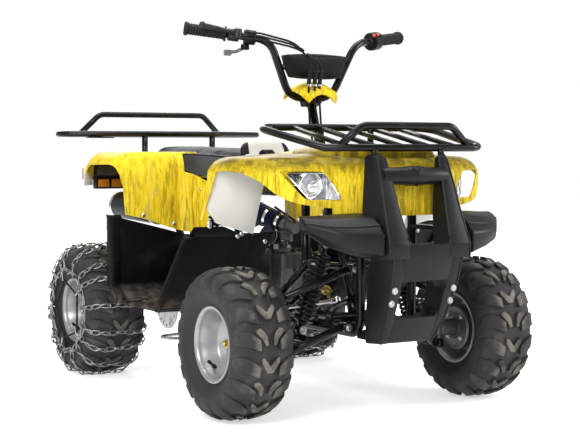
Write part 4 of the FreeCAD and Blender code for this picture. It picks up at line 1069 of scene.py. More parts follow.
frame_pieces = []
for side in SIDES.values():
    x = side * RAIL_X
    loop = [(x, DOWN_TUBE_Y, TOP_Z), (x, FRONT_POST_Y, TOP_Z), (x, FRONT_POST_Y, RAIL_Z), (x, 236, RAIL_Z),
            (x, 330, 430), (x, 470, 620)]
    frame_pieces.append(bar("loop", loop, FRAME_TUBE, 45))
    top = [(x, DOWN_TUBE_Y - 30, TOP_Z), (x, -180, 590), (x, 90, 590), (x, 330, 612), (x, 630, 635)]
    frame_pieces.append(bar("top", top, FRAME_TUBE, 60))
    frame_pieces.append(bar("down", [(x, DOWN_TUBE_Y, RAIL_Z), (x, DOWN_TUBE_Y, TOP_Z)], FRAME_TUBE, 0))
    upper = [(side * (UPPER_PIVOT[0] - 23), y, UPPER_PIVOT[1]) for y in (FRONT_POST_Y, DOWN_TUBE_Y)]
    frame_pieces.append(bar("rail", upper, THIN_TUBE, 0))
    for z in (RAIL_Z + 13, TOP_Z - 13):
        frame_pieces.append(weld((x, DOWN_TUBE_Y, z), Z_AXIS, FRAME_TUBE))
    for y in (-38, 102):
        peg_z = FOOTWELL_Z - 9
        peg = [(x, y, RAIL_Z), (side * 142, y, RAIL_Z), (side * 172, y, peg_z), (side * 395, y, peg_z)]
        frame_pieces.append(bar("peg", peg, 9, 14))
    for pivot_x, pivot_z in (LOWER_PIVOT, UPPER_PIVOT):
        for end in (1, -1):
            for gap in (1, -1):
                y = FRONT_AXLE_Y + end * ARM_SPREAD + gap * 21
                low_x, high_x = sorted((side * (pivot_x + 6), side * min(RAIL_X - 4, pivot_x - 24)))
                lug = block("lug", (low_x, y - 2, pivot_z - 12), (high_x, y + 2, pivot_z + 12), 1.5)
                frame_pieces.append(lug)
                bolt("chassis", (side * pivot_x, y + gap * 2, pivot_z), Y_AXIS * gap, 13)
    tower = [(side * a, b) for a, b in ((RAIL_X - 2, 600), (RAIL_X + 12, 600), (124, 480), (124, 470),
                                        (100, 470), (RAIL_X - 2, 560))]
    frame_pieces.append(soften(drawn("tower", tower, 1, FRONT_AXLE_Y - 12, FRONT_AXLE_Y + 12), 2))
    gusset = [(215, 225), (262, 225), (292, 262), (288, 310), (235, 270)]
    frame_pieces.append(soften(drawn("gusset", gusset, 0, side * 68, side * 72), 1))
    for low, high in (((RAIL_X - 10, 30, RAIL_Z), (RAIL_X + 10, 54, 239.7)),
                      ((RAIL_X - 10, 130, RAIL_Z), (RAIL_X + 10, 154, 239.7)),
                      ((RAIL_X - 9, -170, 590), (RAIL_X + 9, -150, 629.5)),
                      ((115, 605, 628), (139, 629, 645)),
                      ((RAIL_X - 10, -758, 500), (RAIL_X + 18, FRONT_POST_Y, 512)),
                      ((RAIL_X - 20, -704, 212), (RAIL_X + 12, FRONT_POST_Y, 228))):
        low_x, high_x = sorted((side * low[0], side * high[0]))
        frame_pieces.append(block("seat", (low_x, *low[1:]), (high_x, *high[1:]), 1.5))

for y, z in ((FRONT_POST_Y, TOP_Z), (FRONT_POST_Y, RAIL_Z), (DOWN_TUBE_Y, RAIL_Z), (-20, RAIL_Z),
             (236, RAIL_Z), (330, 612), (90, 590), (630, 635)):
    frame_pieces.append(cross_bar(RAIL_X, y, z, CROSS_TUBE))
    for side in SIDES.values():
        frame_pieces.append(weld((side * (RAIL_X - 12), y, z), X_AXIS, CROSS_TUBE))
frame_pieces.append(cross_bar(127, 617, 635, THIN_TUBE))
frame_pieces.append(cross_bar(78, 268, 262, 8))
cup = [(-28, 0), (-28, 17), (-25, 18.5), (-3, 18.5), (0, 17), (0, 11.6), (-20, 11.6), (-20, 0)]
frame_pieces.append(spun("cup", cup, COLUMN_FOOT, COLUMN_AXIS, 40))
frame_pieces.append(block("beam", (-RAIL_X, -508, 254), (RAIL_X, -478, 262), 2))
clamp_at = COLUMN_FOOT + COLUMN_AXIS * ((TOP_Z + 14 - COLUMN_FOOT.z) / COLUMN_AXIS.z)
clamp = [(-17, 11.6), (-17, 19), (-15, 21), (15, 21), (17, 19), (17, 11.6)]
frame_pieces.append(spun("clamp", clamp, clamp_at, COLUMN_AXIS, 40))
for side in SIDES.values():
    frame_pieces.append(block("post", (side * RAIL_X - 4, -508, RAIL_Z), (side * RAIL_X + 4, -478, 262), 2))
    low_x, high_x = sorted((side * 15, side * RAIL_X))
    low, high = (low_x, clamp_at.y - 14, TOP_Z - 6), (high_x, clamp_at.y + 14, TOP_Z + 12)
    frame_pieces.append(block("bridge", low, high, 2))
    bolt("chassis", (side * 34, clamp_at.y, TOP_Z + 12), Z_AXIS)
dress(join(frame_pieces, "welded_frame"), frame_black, "chassis", ["frame"])


# %% [markdown]
# In front, two wishbones a side carry a ball joint each, and a spring and damper stand on the
# lower one. The springs are real helices: a bar along points on a turning circle.
# %% Wishbones and ball joints
KINGPIN_X = 270
LOWER_BALL_Z = 161
UPPER_BALL_Z = 313
SHOCK_FOOT_X = 185


def wishbone(side, pivot, ball_z, tube):
    ball_at = Vector((side * KINGPIN_X, FRONT_AXLE_Y, ball_z))
    bush = [(-17.5, 6), (-17.5, 11), (-16, 12.5), (16, 12.5), (17.5, 11), (17.5, 6)]
    pieces = []
    for end in (1, -1):
        y = FRONT_AXLE_Y + end * ARM_SPREAD
        pieces.append(spun("bush", bush, (side * pivot[0], y, pivot[1]), Y_AXIS, 32))
        arm = [(side * (pivot[0] + 9), y, pivot[1]), (side * 236, FRONT_AXLE_Y + end * 22, ball_z + 9),
               (ball_at.x - side * 10, FRONT_AXLE_Y + end * 6, ball_z)]
        pieces.append(bar("arm", arm, tube, 60))
    housing = [(-11, 0), (-11, 15), (-9, 17), (8, 17), (11, 14), (11, 0)]
    pieces.append(spun("housing", housing, ball_at, Z_AXIS, 36))
    return pieces


def dust_boot(place, axis, low, high):
    # A little rubber bellows between a ball joint and the knuckle.
    profile = [(low, 6), (low, 12)]
    steps = 4
    for i in range(steps):
        start = low + (high - low) * (i + 0.2) / steps
        profile += [(start, 13.5 - i), (start + (high - low) * 0.45 / steps, 10.5 - i)]
    profile += [(high, 9), (high, 6)]
    return spun("boot", profile, place, axis, 28)


for name, side in SIDES.items():
    pieces = wishbone(side, LOWER_PIVOT, LOWER_BALL_Z, 11) + wishbone(side, UPPER_PIVOT, UPPER_BALL_Z, 10)
    bridge = [(side * SHOCK_FOOT_X, FRONT_AXLE_Y + along, 203.5) for along in (-58, 58)]
    pieces.append(bar("bridge", bridge, 9, 0))
    dress(join(pieces, f"arms_{name}"), frame_black, "chassis", [f"wishbones_{name}"])


# %% Springs and dampers
SPRING_RADIUS = 25
SPRING_WIRE = 4.4
CHORDS_A_COIL = 16


def spring(foot, head, coils):
    length = (head - foot).length
    turn = X_AXIS.rotation_difference((head - foot).normalized())
    points = []
    steps = coils * CHORDS_A_COIL
    for i in range(steps + 1):
        angle = math.tau * i / CHORDS_A_COIL
        along = 35 + (length - 75) * i / steps
        around = Vector((0, math.sin(angle), math.cos(angle))) * SPRING_RADIUS
        points.append(foot + turn @ (X_AXIS * along + around))
    return bar("spring", points, SPRING_WIRE, 0, 3)


def damper(foot, head):
    length = (head - foot).length
    cup, cap = SPRING_RADIUS + 2, SPRING_RADIUS + 1
    body = [(8, 0), (8, 10), (20, 15), (26, cup), (31, cup), (33, 15), (length * 0.55, 15),
            (length * 0.56, 6), (length - 38, 6), (length - 34, cap), (length - 28, cap), (length - 24, 12),
            (length - 10, 10), (length - 10, 0)]
    eye = [(-11, 5), (-11, 13), (-9, 14), (9, 14), (11, 13), (11, 5)]
    eyes = [spun("eye", eye, place, Y_AXIS, 32) for place in (foot, head)]
    return [spun("damper", body, foot, (head - foot).normalized(), 36)] + eyes


def coil_over(foot, head, coils, label):
    foot, head = Vector(foot), Vector(head)
    pieces = damper(foot, head) + [spring(foot, head, coils)]
    for place in (foot, head):
        for hand in (1, -1):
            bolt("chassis", place + Y_AXIS * hand * 13, Y_AXIS * hand, 14)
    return join(pieces, label)


front_shocks = []
for side in SIDES.values():
    foot, head = (side * SHOCK_FOOT_X, FRONT_AXLE_Y, 226.4), (side * 112, FRONT_AXLE_Y, 455)
    front_shocks.append(coil_over(foot, head, 12, "front_shock"))
dress(join(front_shocks, "front_springs"), spring_black, "chassis", ["front_shocks"])
rear_spring = coil_over((0, 345, 283.7), (0, 330, 588.1), 16, "rear_spring")
dress(rear_spring, spring_black, "chassis", ["rear_shock"])


# %% Knuckles, tie rods and steering column
KNUCKLE_ARM = 60
ARM_Z = 264
DRUM_BACK_X = disc_x("front") - BEHIND_DISC - DRUM_DEPTH

for name, side in SIDES.items():
    x = side * KINGPIN_X
    back = side * (DRUM_BACK_X - 5.5)
    reach = abs(back - x)
    kingpin, back_at = (x, FRONT_AXLE_Y, TYRE_RADIUS), (back, FRONT_AXLE_Y, TYRE_RADIUS)
    arm_start, arm_end = FRONT_AXLE_Y + 4, FRONT_AXLE_Y + KNUCKLE_ARM
    post = [(-31, 0), (-31, 10), (-26, 13.5), (20, 14), (62, 14), (84, 13.5), (98, 10), (98, 0)]
    boss = [(0, 0), (0, 20), (8, 23), (reach - 6, 24), (reach, 30), (reach, 0)]
    eye = [(-11, 0), (-11, 11), (-9, 12.5), (-2, 12.5), (0, 11), (0, 0)]
    iron = [spun("post", post, kingpin, Z_AXIS, 32), spun("boss", boss, kingpin, (side, 0, 0), 40),
            rod("arm", [(x, arm_start, ARM_Z - 5), (x, arm_end, ARM_Z - 5)], 7.5, 0),
            spun("eye", eye, (x, arm_end, ARM_Z), Z_AXIS, 28),
            spun("spindle", [(0, 0), (0, 8), (52, 8), (52, 0)], back_at, (side, 0, 0), 28)]
    piece = join(iron, f"steering_knuckle_{name}")
    dress(piece, hub_iron, f"knuckle_{name}", [f"knuckle_{name}"])
    backing = [(-4, 0), (-4, 30), (-6, 34), (-3, 52), (-5, 58), (-1, 64.5), (0, 64.5), (0, 0)]
    dress(spun("backing", backing, back_at, (side, 0, 0), 64), cast_alloy, f"knuckle_{name}")
    for y, z in round_places(4, 42, 0.5):
        place = (back - side * 4, FRONT_AXLE_Y + y, TYRE_RADIUS + z)
        bolt(f"knuckle_{name}", place, (-side, 0, 0), 9, 5)
    boots = [dust_boot((x, FRONT_AXLE_Y, LOWER_BALL_Z), Z_AXIS, 11.5, 22),
             dust_boot((x, FRONT_AXLE_Y, UPPER_BALL_Z), -Z_AXIS, 11.5, 22)]
    dress(join(boots, f"dust_boots_{name}"), grip_rubber, f"knuckle_{name}")

PIN_SIDE = 20
PIN_REACH = 45
PIN_RISE = 19.3
across_column = COLUMN_AXIS.cross(X_AXIS)
for name, side in SIDES.items():
    pin = COLUMN_FOOT + X_AXIS * (side * PIN_SIDE) + across_column * PIN_REACH
    inner = pin + COLUMN_AXIS * PIN_RISE
    outer = Vector((side * KINGPIN_X, FRONT_AXLE_Y + KNUCKLE_ARM, ARM_Z + 12.3))
    length = (outer - inner).length
    near_end = [(6, 0), (6, 5), (14, 5), (15, 7.5), (22, 7.5), (24, 6)]
    profile = near_end + [(length - along, radius) for along, radius in reversed(near_end)]
    track_rod = [spun("rod", profile, inner, (outer - inner).normalized(), 28)]
    joint = [(-9, 0), (-9, 9), (-6, 12), (5, 12), (8, 9), (9, 4), (9, 0)]
    for place, axis in ((inner, COLUMN_AXIS), (outer, Z_AXIS)):
        track_rod.append(spun("end", joint, place, axis, 28))
    dress(join(track_rod, f"track_rod_{name}"), chrome, f"tie_rod_{name}", [f"tie_rod_{name}"])
    boot = dust_boot(outer, -Z_AXIS, 6.5, 11.5)
    dress(boot, grip_rubber, f"tie_rod_{name}")

BAR_MIDDLE = Vector((0, COLUMN_HEAD.y, COLUMN_HEAD.z + 14))
CROSS_Z = 948
shaft = bar("shaft", [COLUMN_FOOT - COLUMN_AXIS * 20, COLUMN_HEAD - COLUMN_AXIS * 4], 11, 0)
pitman = [COLUMN_FOOT + COLUMN_AXIS * 4 + X_AXIS * a + across_column * b
          for a, b in ((-14, -14), (14, -14), (33, 57), (-33, 57))]
pitman = soften(skin("pitman", [pitman, [point + COLUMN_AXIS * 6 for point in pitman]]), 2)
raked = Z_AXIS.rotation_difference(COLUMN_AXIS)
clamp_block = block("clamp", (-28, -17, -22), (28, 17, 22), 4)
clamp_block.data.transform(Matrix.Translation(BAR_MIDDLE * MM) @ raked.to_matrix().to_4x4())
stay = bar("stay", [BAR_MIDDLE, (0, BAR_MIDDLE.y, 901)], 8, 0)
for a in (-18, 18):
    for b in (-11, 11):
        bolt("steering", BAR_MIDDLE + raked @ Vector((a, b, 22)), COLUMN_AXIS, 10)
column = join([shaft, pitman, clamp_block, stay], "column")
dress(column, frame_black, "steering", ["steering_column"])


# %% [markdown]
# The handlebar and both racks are bent tube as well. Their corners are drawn with large
# bends, since a tube bender leaves no sharp corner.
# %% Handlebar
BAR_TUBE = 11.1
BAR_END = Vector((361, -172, 1053))
BAR_BEND = Vector((143, -270, 1022))


def on_bar(side, distance):
    # A place on the straight end of the bar, and the direction inward along it.
    end = on_side(side, BAR_END)
    inward = (on_side(side, BAR_BEND) - end).normalized()
    return end + inward * distance, inward


half = [(70, BAR_MIDDLE.y, BAR_MIDDLE.z), tuple(BAR_BEND), tuple(BAR_END)]
route = [(-x, y, z) for x, y, z in reversed(half)] + half
share = (CROSS_Z - BAR_MIDDLE.z) / (BAR_BEND.z - BAR_MIDDLE.z)
cross_half = 70 + share * 73
cross_y = BAR_MIDDLE.y + share * (BAR_BEND.y - BAR_MIDDLE.y)
tube = bar("bar", route, BAR_TUBE, 62)
cross = cross_bar(cross_half, cross_y, CROSS_Z, 8)
dress(join([tube, cross], "bent_handlebar"), frame_black, "steering", ["handlebar"])

# %% Racks
RACK_TUBE = 10
SLAT_TUBE = 7


def hoop_rack(loop, hoop, slats, legs, name, node):
    # The loop starts and ends in the middle of its rear bar, where it runs straight.
    other_side = [(-x, y, z) for x, y, z in reversed(loop) if x]
    pieces = [bar("loop", loop + other_side, RACK_TUBE, 46, closed=True)]
    whole_hoop = [(-x, y, z) for x, y, z in reversed(hoop) if x] + hoop
    pieces.append(bar("hoop", whole_hoop, RACK_TUBE, 40))
    for side in SIDES.values():
        pieces.append(weld((side * hoop[-1][0], hoop[-1][1], hoop[-1][2] + 9), Z_AXIS, RACK_TUBE))
    for start, end in slats:
        pieces.append(bar("slat", [start, end], SLAT_TUBE, 0))
        middle = (Vector(start) + Vector(end)) / 2
        for place in (Vector(start), Vector(end)):
            inward = (middle - place).normalized()
            pieces.append(weld(place + inward * 10, inward, SLAT_TUBE - 1))
    for foot, head, radius in legs:
        pieces.append(bar("leg", [foot, head], radius, 0))
        pad = [(0, 0), (0, radius + 6), (2, radius + 7), (4, radius + 5), (4, 0)]
        pieces.append(spun("pad", pad, foot, Z_AXIS, 32))
    dress(join(pieces, name), rack_black, "chassis", [node])


front_loop = [(0, -742, 717), (250, -742, 717), (285, -440, 773), (0, -440, 773)]
front_hoop = [(0, -748, 774), (142, -748, 774), (207, -735, 718)]
front_slats = [((x, -742, 717), (x, -440, 773)) for x in (-170, -85, 0, 85, 170)]
front_legs = [((side * 105, -750, 690.3), (side * 105, -750, 717), 9) for side in SIDES.values()]
front_legs += [((side * 82, -446, 718.3), (side * 82, -446, 772), 9) for side in SIDES.values()]
hoop_rack(front_loop, front_hoop, front_slats, front_legs, "carrier_front", "front_rack")
rear_loop = [(0, 614, 765), (141, 614, 765), (395, 744, 765), (330, 844, 765), (0, 844, 765)]
rear_hoop = [(0, 833, 834), (199, 833, 834), (270, 843, 765)]
rear_slats = [((x, 614 if abs(x) < 100 else 640, 765), (x, 844, 765)) for x in (-190, -65, 65, 190)]
rear_legs = [((side * 127, 617, 645.3), (side * 127, 617, 765), 10) for side in SIDES.values()]
hoop_rack(rear_loop, rear_hoop, rear_slats, rear_legs, "carrier_rear", "rear_rack")
bracket = block("bracket", (-300, 672, 751), (-214, 712, 755), 1.5)
dress(bracket, rack_black, "chassis")

# %% Swingarm, rear axle, disc and sprocket
AXLE_Z = TYRE_RADIUS
AXLE_PLACE = Vector((0, REAR_AXLE_Y, AXLE_Z))
REAR_DISC_X = disc_x("rear")
PIVOT_PLACE = Vector((0, 268, 262))

carrier = [(-100, 12.8), (-100, 26), (-97, 28.5), (-84, 28.5), (-80, 26), (80, 26), (84, 28.5), (97, 28.5),
           (100, 26), (100, 12.8)]
arm_pieces = [spun("carrier", carrier, AXLE_PLACE, X_AXIS, 48),
              spun("pivot", [(-66, 8.3), (-66, 17), (66, 17), (66, 8.3)], PIVOT_PLACE, X_AXIS, 36),
              cross_bar(66, 345, 258, 12)]
for side in SIDES.values():
    arm = [(side * 50, 270, 262), (side * 56, 340, 262), (side * 70, REAR_AXLE_Y, AXLE_Z + 6)]
    arm_pieces.append(bar("arm", arm, 13, 60))
    bolt("chassis", PIVOT_PLACE + X_AXIS * (side * 84), X_AXIS * side, 17)
dress(join(arm_pieces, "rear_arm"), frame_black, "chassis", ["swingarm"])

AXLE_RADIUS = 12.5
hub_back = REAR_DISC_X - BEHIND_DISC
half_shaft = [(133, AXLE_RADIUS), (hub_back - 45, AXLE_RADIUS), (hub_back - 45, 33), (hub_back - 40, 34),
              (hub_back - 26, 34), (hub_back - 22, 38), (hub_back - 6, 58), (hub_back, 58), (hub_back, 28),
              (REAR_DISC_X + 4, 28), (REAR_DISC_X + 20, 22), (REAR_DISC_X + 20, AXLE_RADIUS),
              (REAR_DISC_X + 24, AXLE_RADIUS), (REAR_DISC_X + 24, 0)]
whole = [(-x, r) for x, r in reversed(half_shaft)] + half_shaft
axle = [spun("shaft", whole, AXLE_PLACE, X_AXIS, 56)]
for near, far in ((108, 133), (-134, -108)):
    profile = [(near, AXLE_RADIUS), (near, 24), (far, 24), (far, AXLE_RADIUS)]
    axle.append(spun("carrier", profile, AXLE_PLACE, X_AXIS, 40))
dress(join(axle, "solid_axle"), turned_steel, "rear_axle", ["rear_axle"])


def holed_disc(name, at_x, thickness, radius, ring, holes, hole, teeth=0, depth=0):
    # A thin disc on the rear axle with a ring of holes, and teeth if it is a sprocket.
    outline = []
    count = teeth * 4 if teeth else 96
    for i in range(count):
        rise = radius if not teeth or i % 4 in (1, 2) else radius - depth
        turn = math.tau * i / count
        outline.append((rise * math.sin(turn), rise * math.cos(turn)))
    disc = drawn(name, outline, 0, at_x, at_x + thickness)
    cutters = []
    for y, z in round_places(holes, ring):
        cutters.append(bar("hole", [(at_x - 5, y, z), (at_x + thickness + 5, y, z)], hole, 0, 3))
    cut(disc, join(cutters, "holes"))
    disc.data.transform(Matrix.Translation(AXLE_PLACE * MM))
    dress(smooth(disc, 30), turned_steel, "rear_axle")


holed_disc("rear_sprocket", 118, 5, 80, 52, 6, 13, 36, 6)
holed_disc("brake_disc", -124, 4, 80, 66, 18, 5)


# %% [markdown]
# The drive chain is made like the snow chains: one pair of links, laid along the route round
# both sprockets.
# %% Drive chain
FRONT_SPROCKET = Vector((114, 150, 320))
REAR_SPROCKET = Vector((114, REAR_AXLE_Y, AXLE_Z))
CHAIN_PITCH = 14.5
FRONT_WRAP = 26
REAR_WRAP = 81.5


def belt_route(front, rear, front_radius, rear_radius):
    span = rear - front
    lean = math.asin((rear_radius - front_radius) / span.length)
    angle = math.atan2(span.z, span.y)
    upper, lower = angle + math.pi / 2 + lean, angle - math.pi / 2 - lean
    points = []
    for centre, radius, start, end in ((front, front_radius, upper, lower + math.tau),
                                       (rear, rear_radius, lower, upper)):
        for i in range(15):
            turn = start + (end - start) * i / 14
            points.append(centre + Vector((0, math.cos(turn), math.sin(turn))) * radius)
    return points


def chain_link():
    outline = []
    for i in range(16):
        turn = math.tau * i / 16
        outline.append((6.4 * math.copysign(1, math.cos(turn)) + 4.5 * math.cos(turn), 4.5 * math.sin(turn)))
    pieces = [drawn("plate", outline, 1, start, start + 1.4) for start in (-5.6, 4.2)]
    for along in (-6.35, 6.35):
        pieces.append(bar("roller", [(along, -4.4, 0), (along, 4.4, 0)], 3.4, 0, 2))
    return smooth(join(pieces, "chain_link"))


pattern = chain_link()
route = belt_route(FRONT_SPROCKET + X_AXIS * 6, REAR_SPROCKET + X_AXIS * 6, FRONT_WRAP, REAR_WRAP)
laid = []
for place, direction in path_frames(route, CHAIN_PITCH, closed=True):
    normal = direction.cross(X_AXIS).normalized()
    turn = Matrix((direction, X_AXIS, normal)).transposed().to_4x4()
    laid.append(moved(pattern, Matrix.Translation(place * MM) @ turn))
discard(pattern)
dress(join(laid, "roller_chain"), turned_steel, "chassis", ["drive_chain"])


# %% [markdown]
# The body panels are thin mouldings. Each starts as a solid drawn up through plan outlines,
# the arches and lamp windows are cut out of it, its floor is taken away, and Solidify gives
# what is left the real thickness of 4 mm with a white inner face. A bevel rounds the edges.
# %% Panel outlines
PANEL_WALL = 4
PANEL_EDGE = 2.2
LAMP_MIDDLE = (226, -660, 617)
LAMP_CORNERS = ((274, -587, 651), (205, -676, 653), (180, -714, 584), (250, -660, 580))
FRONT_PLAN = [(0, -746), (-66, -746), (-100, -729), (-180, -707), (-262, -674), (-312, -636), (-356, -586),
              (-396, -500), (-408, -440), (-404, -392), (-404, -388)]
FRONT_TOP_PLAN = [(0, -700), (-60, -698), (-88, -686), (-160, -658), (-226, -624), (-270, -590), (-304, -548),
                  (-336, -486), (-346, -440), (-342, -408), (-342, -404)]
HOOD_PLAN = [(0, -716), (-60, -712), (-100, -700), (-150, -670), (-160, -600), (-160, -500), (-150, -396)]
HOOD_TOP_PLAN = [(0, -700), (-50, -698), (-86, -688), (-116, -660), (-122, -600), (-120, -500), (-112, -400)]


def stacked(name, levels):
    rings = []
    for z, half in levels:
        whole = half + [(-x, y) for x, y in reversed(half) if x]
        rings.append([(x, y, z) for x, y in whole])
    return skin(name, rings)


def between(first, second, share):
    return [(a[0] + (b[0] - a[0]) * share, a[1] + (b[1] - a[1]) * share) for a, b in zip(first, second)]


def side_cutter(profile, inner_x, outer_x):
    # A side view drawn through from one side wall and its mirror image.
    one = drawn("cutter", profile, 0, -outer_x, -inner_x)
    return join([one, mirrored(one)], "cutter")


def lamp_facing(side):
    return Vector((side * 0.77, -0.62, 0.12)).normalized()


def lamp_ring(side, offset, grow=0.0):
    # The rounded eye outline of a headlamp on a plane across its own facing.
    middle = on_side(side, LAMP_MIDDLE)
    facing = lamp_facing(side)
    corners = []
    for corner in LAMP_CORNERS:
        point = on_side(side, corner)
        flat = point - facing * ((point - middle).dot(facing) - offset)
        corners.append(flat + (flat - middle - facing * offset).normalized() * grow)
    ring = []
    for i, corner in enumerate(corners):
        before, after = corners[i - 1], corners[(i + 1) % 4]
        start = corner + (before - corner).normalized() * 13
        end = corner + (after - corner).normalized() * 13
        for j in range(5):
            t = j / 4
            ring.append(start * (1 - t) ** 2 + corner * (2 * t * (1 - t)) + end * t ** 2)
    return ring


def lamp_cutter(side):
    return skin("window", [lamp_ring(side, offset) for offset in (-70, 70)])


def open_below(obj, low_z):
    # Deletes the bottom face and the walls that a cutter left.
    use(obj)
    bpy.ops.object.mode_set(mode="EDIT")
    bpy.ops.mesh.select_mode(type="FACE")
    bpy.ops.mesh.select_all(action="DESELECT")
    bpy.ops.object.mode_set(mode="OBJECT")
    for face in obj.data.polygons:
        low = all(obj.data.vertices[i].co.z < low_z * MM for i in face.vertices)
        face.select = low or face.material_index == 1
    bpy.ops.object.mode_set(mode="EDIT")
    bpy.ops.mesh.delete(type="FACE")
    bpy.ops.mesh.select_all(action="SELECT")
    bpy.ops.mesh.remove_doubles(threshold=0.00002)
    bpy.ops.object.mode_set(mode="OBJECT")
    return obj


def with_cutter(obj, cutter):
    # The walls that a cutter leaves get the second material, so that they can be deleted.
    if not obj.data.materials:
        obj.data.materials.append(panel_yellow)
    cutter.data.materials.clear()
    cutter.data.materials.append(cut_mark)
    modify(obj, "BOOLEAN", operation="DIFFERENCE", object=cutter, solver="EXACT", material_mode="TRANSFER")
    discard(cutter)


def moulding(obj):
    # Thickness inwards with a white inner face, then rounded edges.
    obj.data.materials.clear()
    modify(obj, "SOLIDIFY", thickness=PANEL_WALL * MM, offset=-1, use_even_offset=True,
           use_quality_normals=True, material_offset=1, material_offset_rim=0)
    soften(obj, PANEL_EDGE, 3, 28)


cut_mark = bpy.data.materials.new("cut_mark")


def eased(points, rounds):
    # Cuts the corners of an open outline again and again, which leaves a soft curve.
    for _ in range(rounds):
        softer = [points[0]]
        for a, b in zip(points, points[1:]):
            softer.append(tuple(p * 0.75 + q * 0.25 for p, q in zip(a, b)))
            softer.append(tuple(p * 0.25 + q * 0.75 for p, q in zip(a, b)))
        points = softer + [points[-1]]
    return points


def crowned(low_z, turn_z, top_z, plan, top_plan):
    # Levels that rise straight and then curve over to the top outline, like a quarter circle.
    plan, top_plan = eased(plan, 2), eased(top_plan, 2)
    levels = [(low_z, plan), (turn_z, plan)]
    for i in range(1, 7):
        turn = math.pi / 2 * i / 6
        z = turn_z + (top_z - turn_z) * math.sin(turn)
        levels.append((z, between(plan, top_plan, 1 - math.cos(turn))))
    return levels


# %% Front body
levels = crowned(540, 642, 693, FRONT_PLAN, FRONT_TOP_PLAN)
levels += [(702, [(x * 0.55, -560 + (y + 560) * 0.6 if y < -410 else y) for x, y in levels[-1][1]])]
skirt = stacked("skirt", levels)
hood = stacked("hood", crowned(640, 690, 719, HOOD_PLAN, HOOD_TOP_PLAN))
modify(skirt, "BOOLEAN", operation="UNION", object=hood, solver="EXACT")
discard(hood)
arch = [(-300, 440), (-340, 520), (-400, 604), (-420, 636), (-440, 652), (-466, 657), (-500, 656),
        (-536, 650), (-560, 642), (-584, 630), (-605, 613), (-622, 596), (-640, 583), (-660, 573),
        (-690, 563), (-740, 552), (-800, 540), (-800, 440)]
with_cutter(skirt, side_cutter(arch, 200, 460))
with_cutter(skirt, block("back", (-384, -440, 480), (384, -300, 660)))
for side in SIDES.values():
    with_cutter(skirt, lamp_cutter(side))
for side in SIDES.values():
    with_cutter(skirt, block("slot", (side * 300 - 26, -468, 672), (side * 300 + 26, -440, 730), 9))
open_below(skirt, 541)
moulding(skirt)
dress(skirt, [panel_yellow, panel_white], "chassis", ["front_fender"])

ribs = []
for low, high in (((-52, 553), (34, 589)), ((-52, 586), (34, 622))):
    for x in (low[0], high[0]):
        ribs.append(block("rib", (x - 1.5, -748, low[1]), (x + 1.5, -745.5, high[1]), 1))
    for z in (low[1], high[1]):
        ribs.append(block("rib", (low[0], -748, z - 1.5), (high[0], -745.5, z + 1.5), 1))
for x in (-8, 4, 52):
    ribs.append(block("rib", (x - 3, -749, 545), (x + 3, -745.5, 636), 1.4))
dress(smooth(join(ribs, "nose_ribs")), panel_yellow, "chassis")

recesses = []
for side in SIDES.values():
    recesses.append(block("recess", (side * 300 - 27, -469, 684), (side * 300 + 27, -439, 690.6), 3))
dress(join(recesses, "fender_recesses"), trim_black, "chassis")

FLAP = [(250, -436, 640), (330, -436, 650), (392, -436, 656), (404, -430, 648), (404, -366, 523),
        (250, -366, 479)]
LIP = [(404, -447, 655), (404, -424, 655), (404, -350, 522), (404, -364, 520)]
flaps = []
lips = []
for side in SIDES.values():
    rings = [[(side * x, y + t, z) for x, y, z in eased(FLAP, 1)] for t in (0, 3)]
    flaps.append(soften(skin("flap", rings), 1))
    rings = [[(side * (x + t), y, z) for x, y, z in LIP] for t in (0, 4)]
    lips.append(soften(skin("lip", rings), 1.2))
dress(join(flaps, "white_flaps"), panel_white, "chassis")
dress(join(lips, "flap_lips"), panel_yellow, "chassis")


# %% [markdown]
# The rear body is one moulding too: the tail, both fenders, and in front of each a big apron
# that turns inward in a soft fold beside the seat.
# %% Rear body
REAR_PLAN = [(0, 655), (-150, 655), (-300, 655), (-345, 625), (-400, 420), (-405, 300), (-402, 236),
             (-384, 207), (-300, 199), (-246, 194), (-220, 197), (-204, 208), (-192, 202), (-180, 192),
             (-168, 182), (-160, 90)]
REAR_TOP_PLAN = [(0, 600), (-130, 600), (-264, 596), (-296, 570), (-346, 415), (-350, 320), (-346, 270),
                 (-334, 240), (-290, 228), (-240, 224), (-216, 228), (-202, 238), (-188, 228), (-174, 216),
                 (-164, 200), (-156, 100)]
tail = stacked("rear", crowned(455, 634, 705, REAR_PLAN, REAR_TOP_PLAN))
arch = [(209.5, 400), (211, 520), (214, 600), (222, 636), (238, 654), (262, 663), (300, 667), (520, 664),
        (590, 644), (700, 606), (700, 400)]
with_cutter(tail, side_cutter(arch, 190, 480))
with_cutter(tail, block("seat_well", (-135, 40, 600), (135, 590, 760)))
with_cutter(tail, block("rear_gap", (-240, 560, 400), (240, 700, 600)))
with_cutter(tail, block("front_gap", (-156, 40, 400), (156, 112, 760)))
waist = eased([(30, 598), (120, 622), (196, 640), (212, 660), (214, 690), (214, 760)], 2) + [(30, 760)]
with_cutter(tail, side_cutter(waist, 100, 186))
wedge = [(-170, 457), (-182, 458), (-240, 474), (-322, 501), (-450, 530), (-450, 380), (-170, 380)]
one = drawn("wedge", wedge, 1, 150, 240)
with_cutter(tail, join([one, mirrored(one)], "wedges"))
open_below(tail, 456)
moulding(tail)
posts = [bar("post", [(side * 127, 617, 560), (side * 127, 617, 740)], 11, 0, 4) for side in SIDES.values()]
cut(tail, join(posts, "posts"))
dress(tail, [panel_yellow, panel_white], "chassis", ["rear_fender"])


# %% [markdown]
# Plastic is held with domed rivets. One dome is spun and copied wherever the picture shows one.
# %% Rivets
def dome(place, axis, radius=6.5):
    profile = [(0, 0), (0, radius), (0.8, radius), (2.2, radius * 0.8), (3.4, radius * 0.45), (3.9, 0)]
    return spun("dome", profile, place, axis, 20)


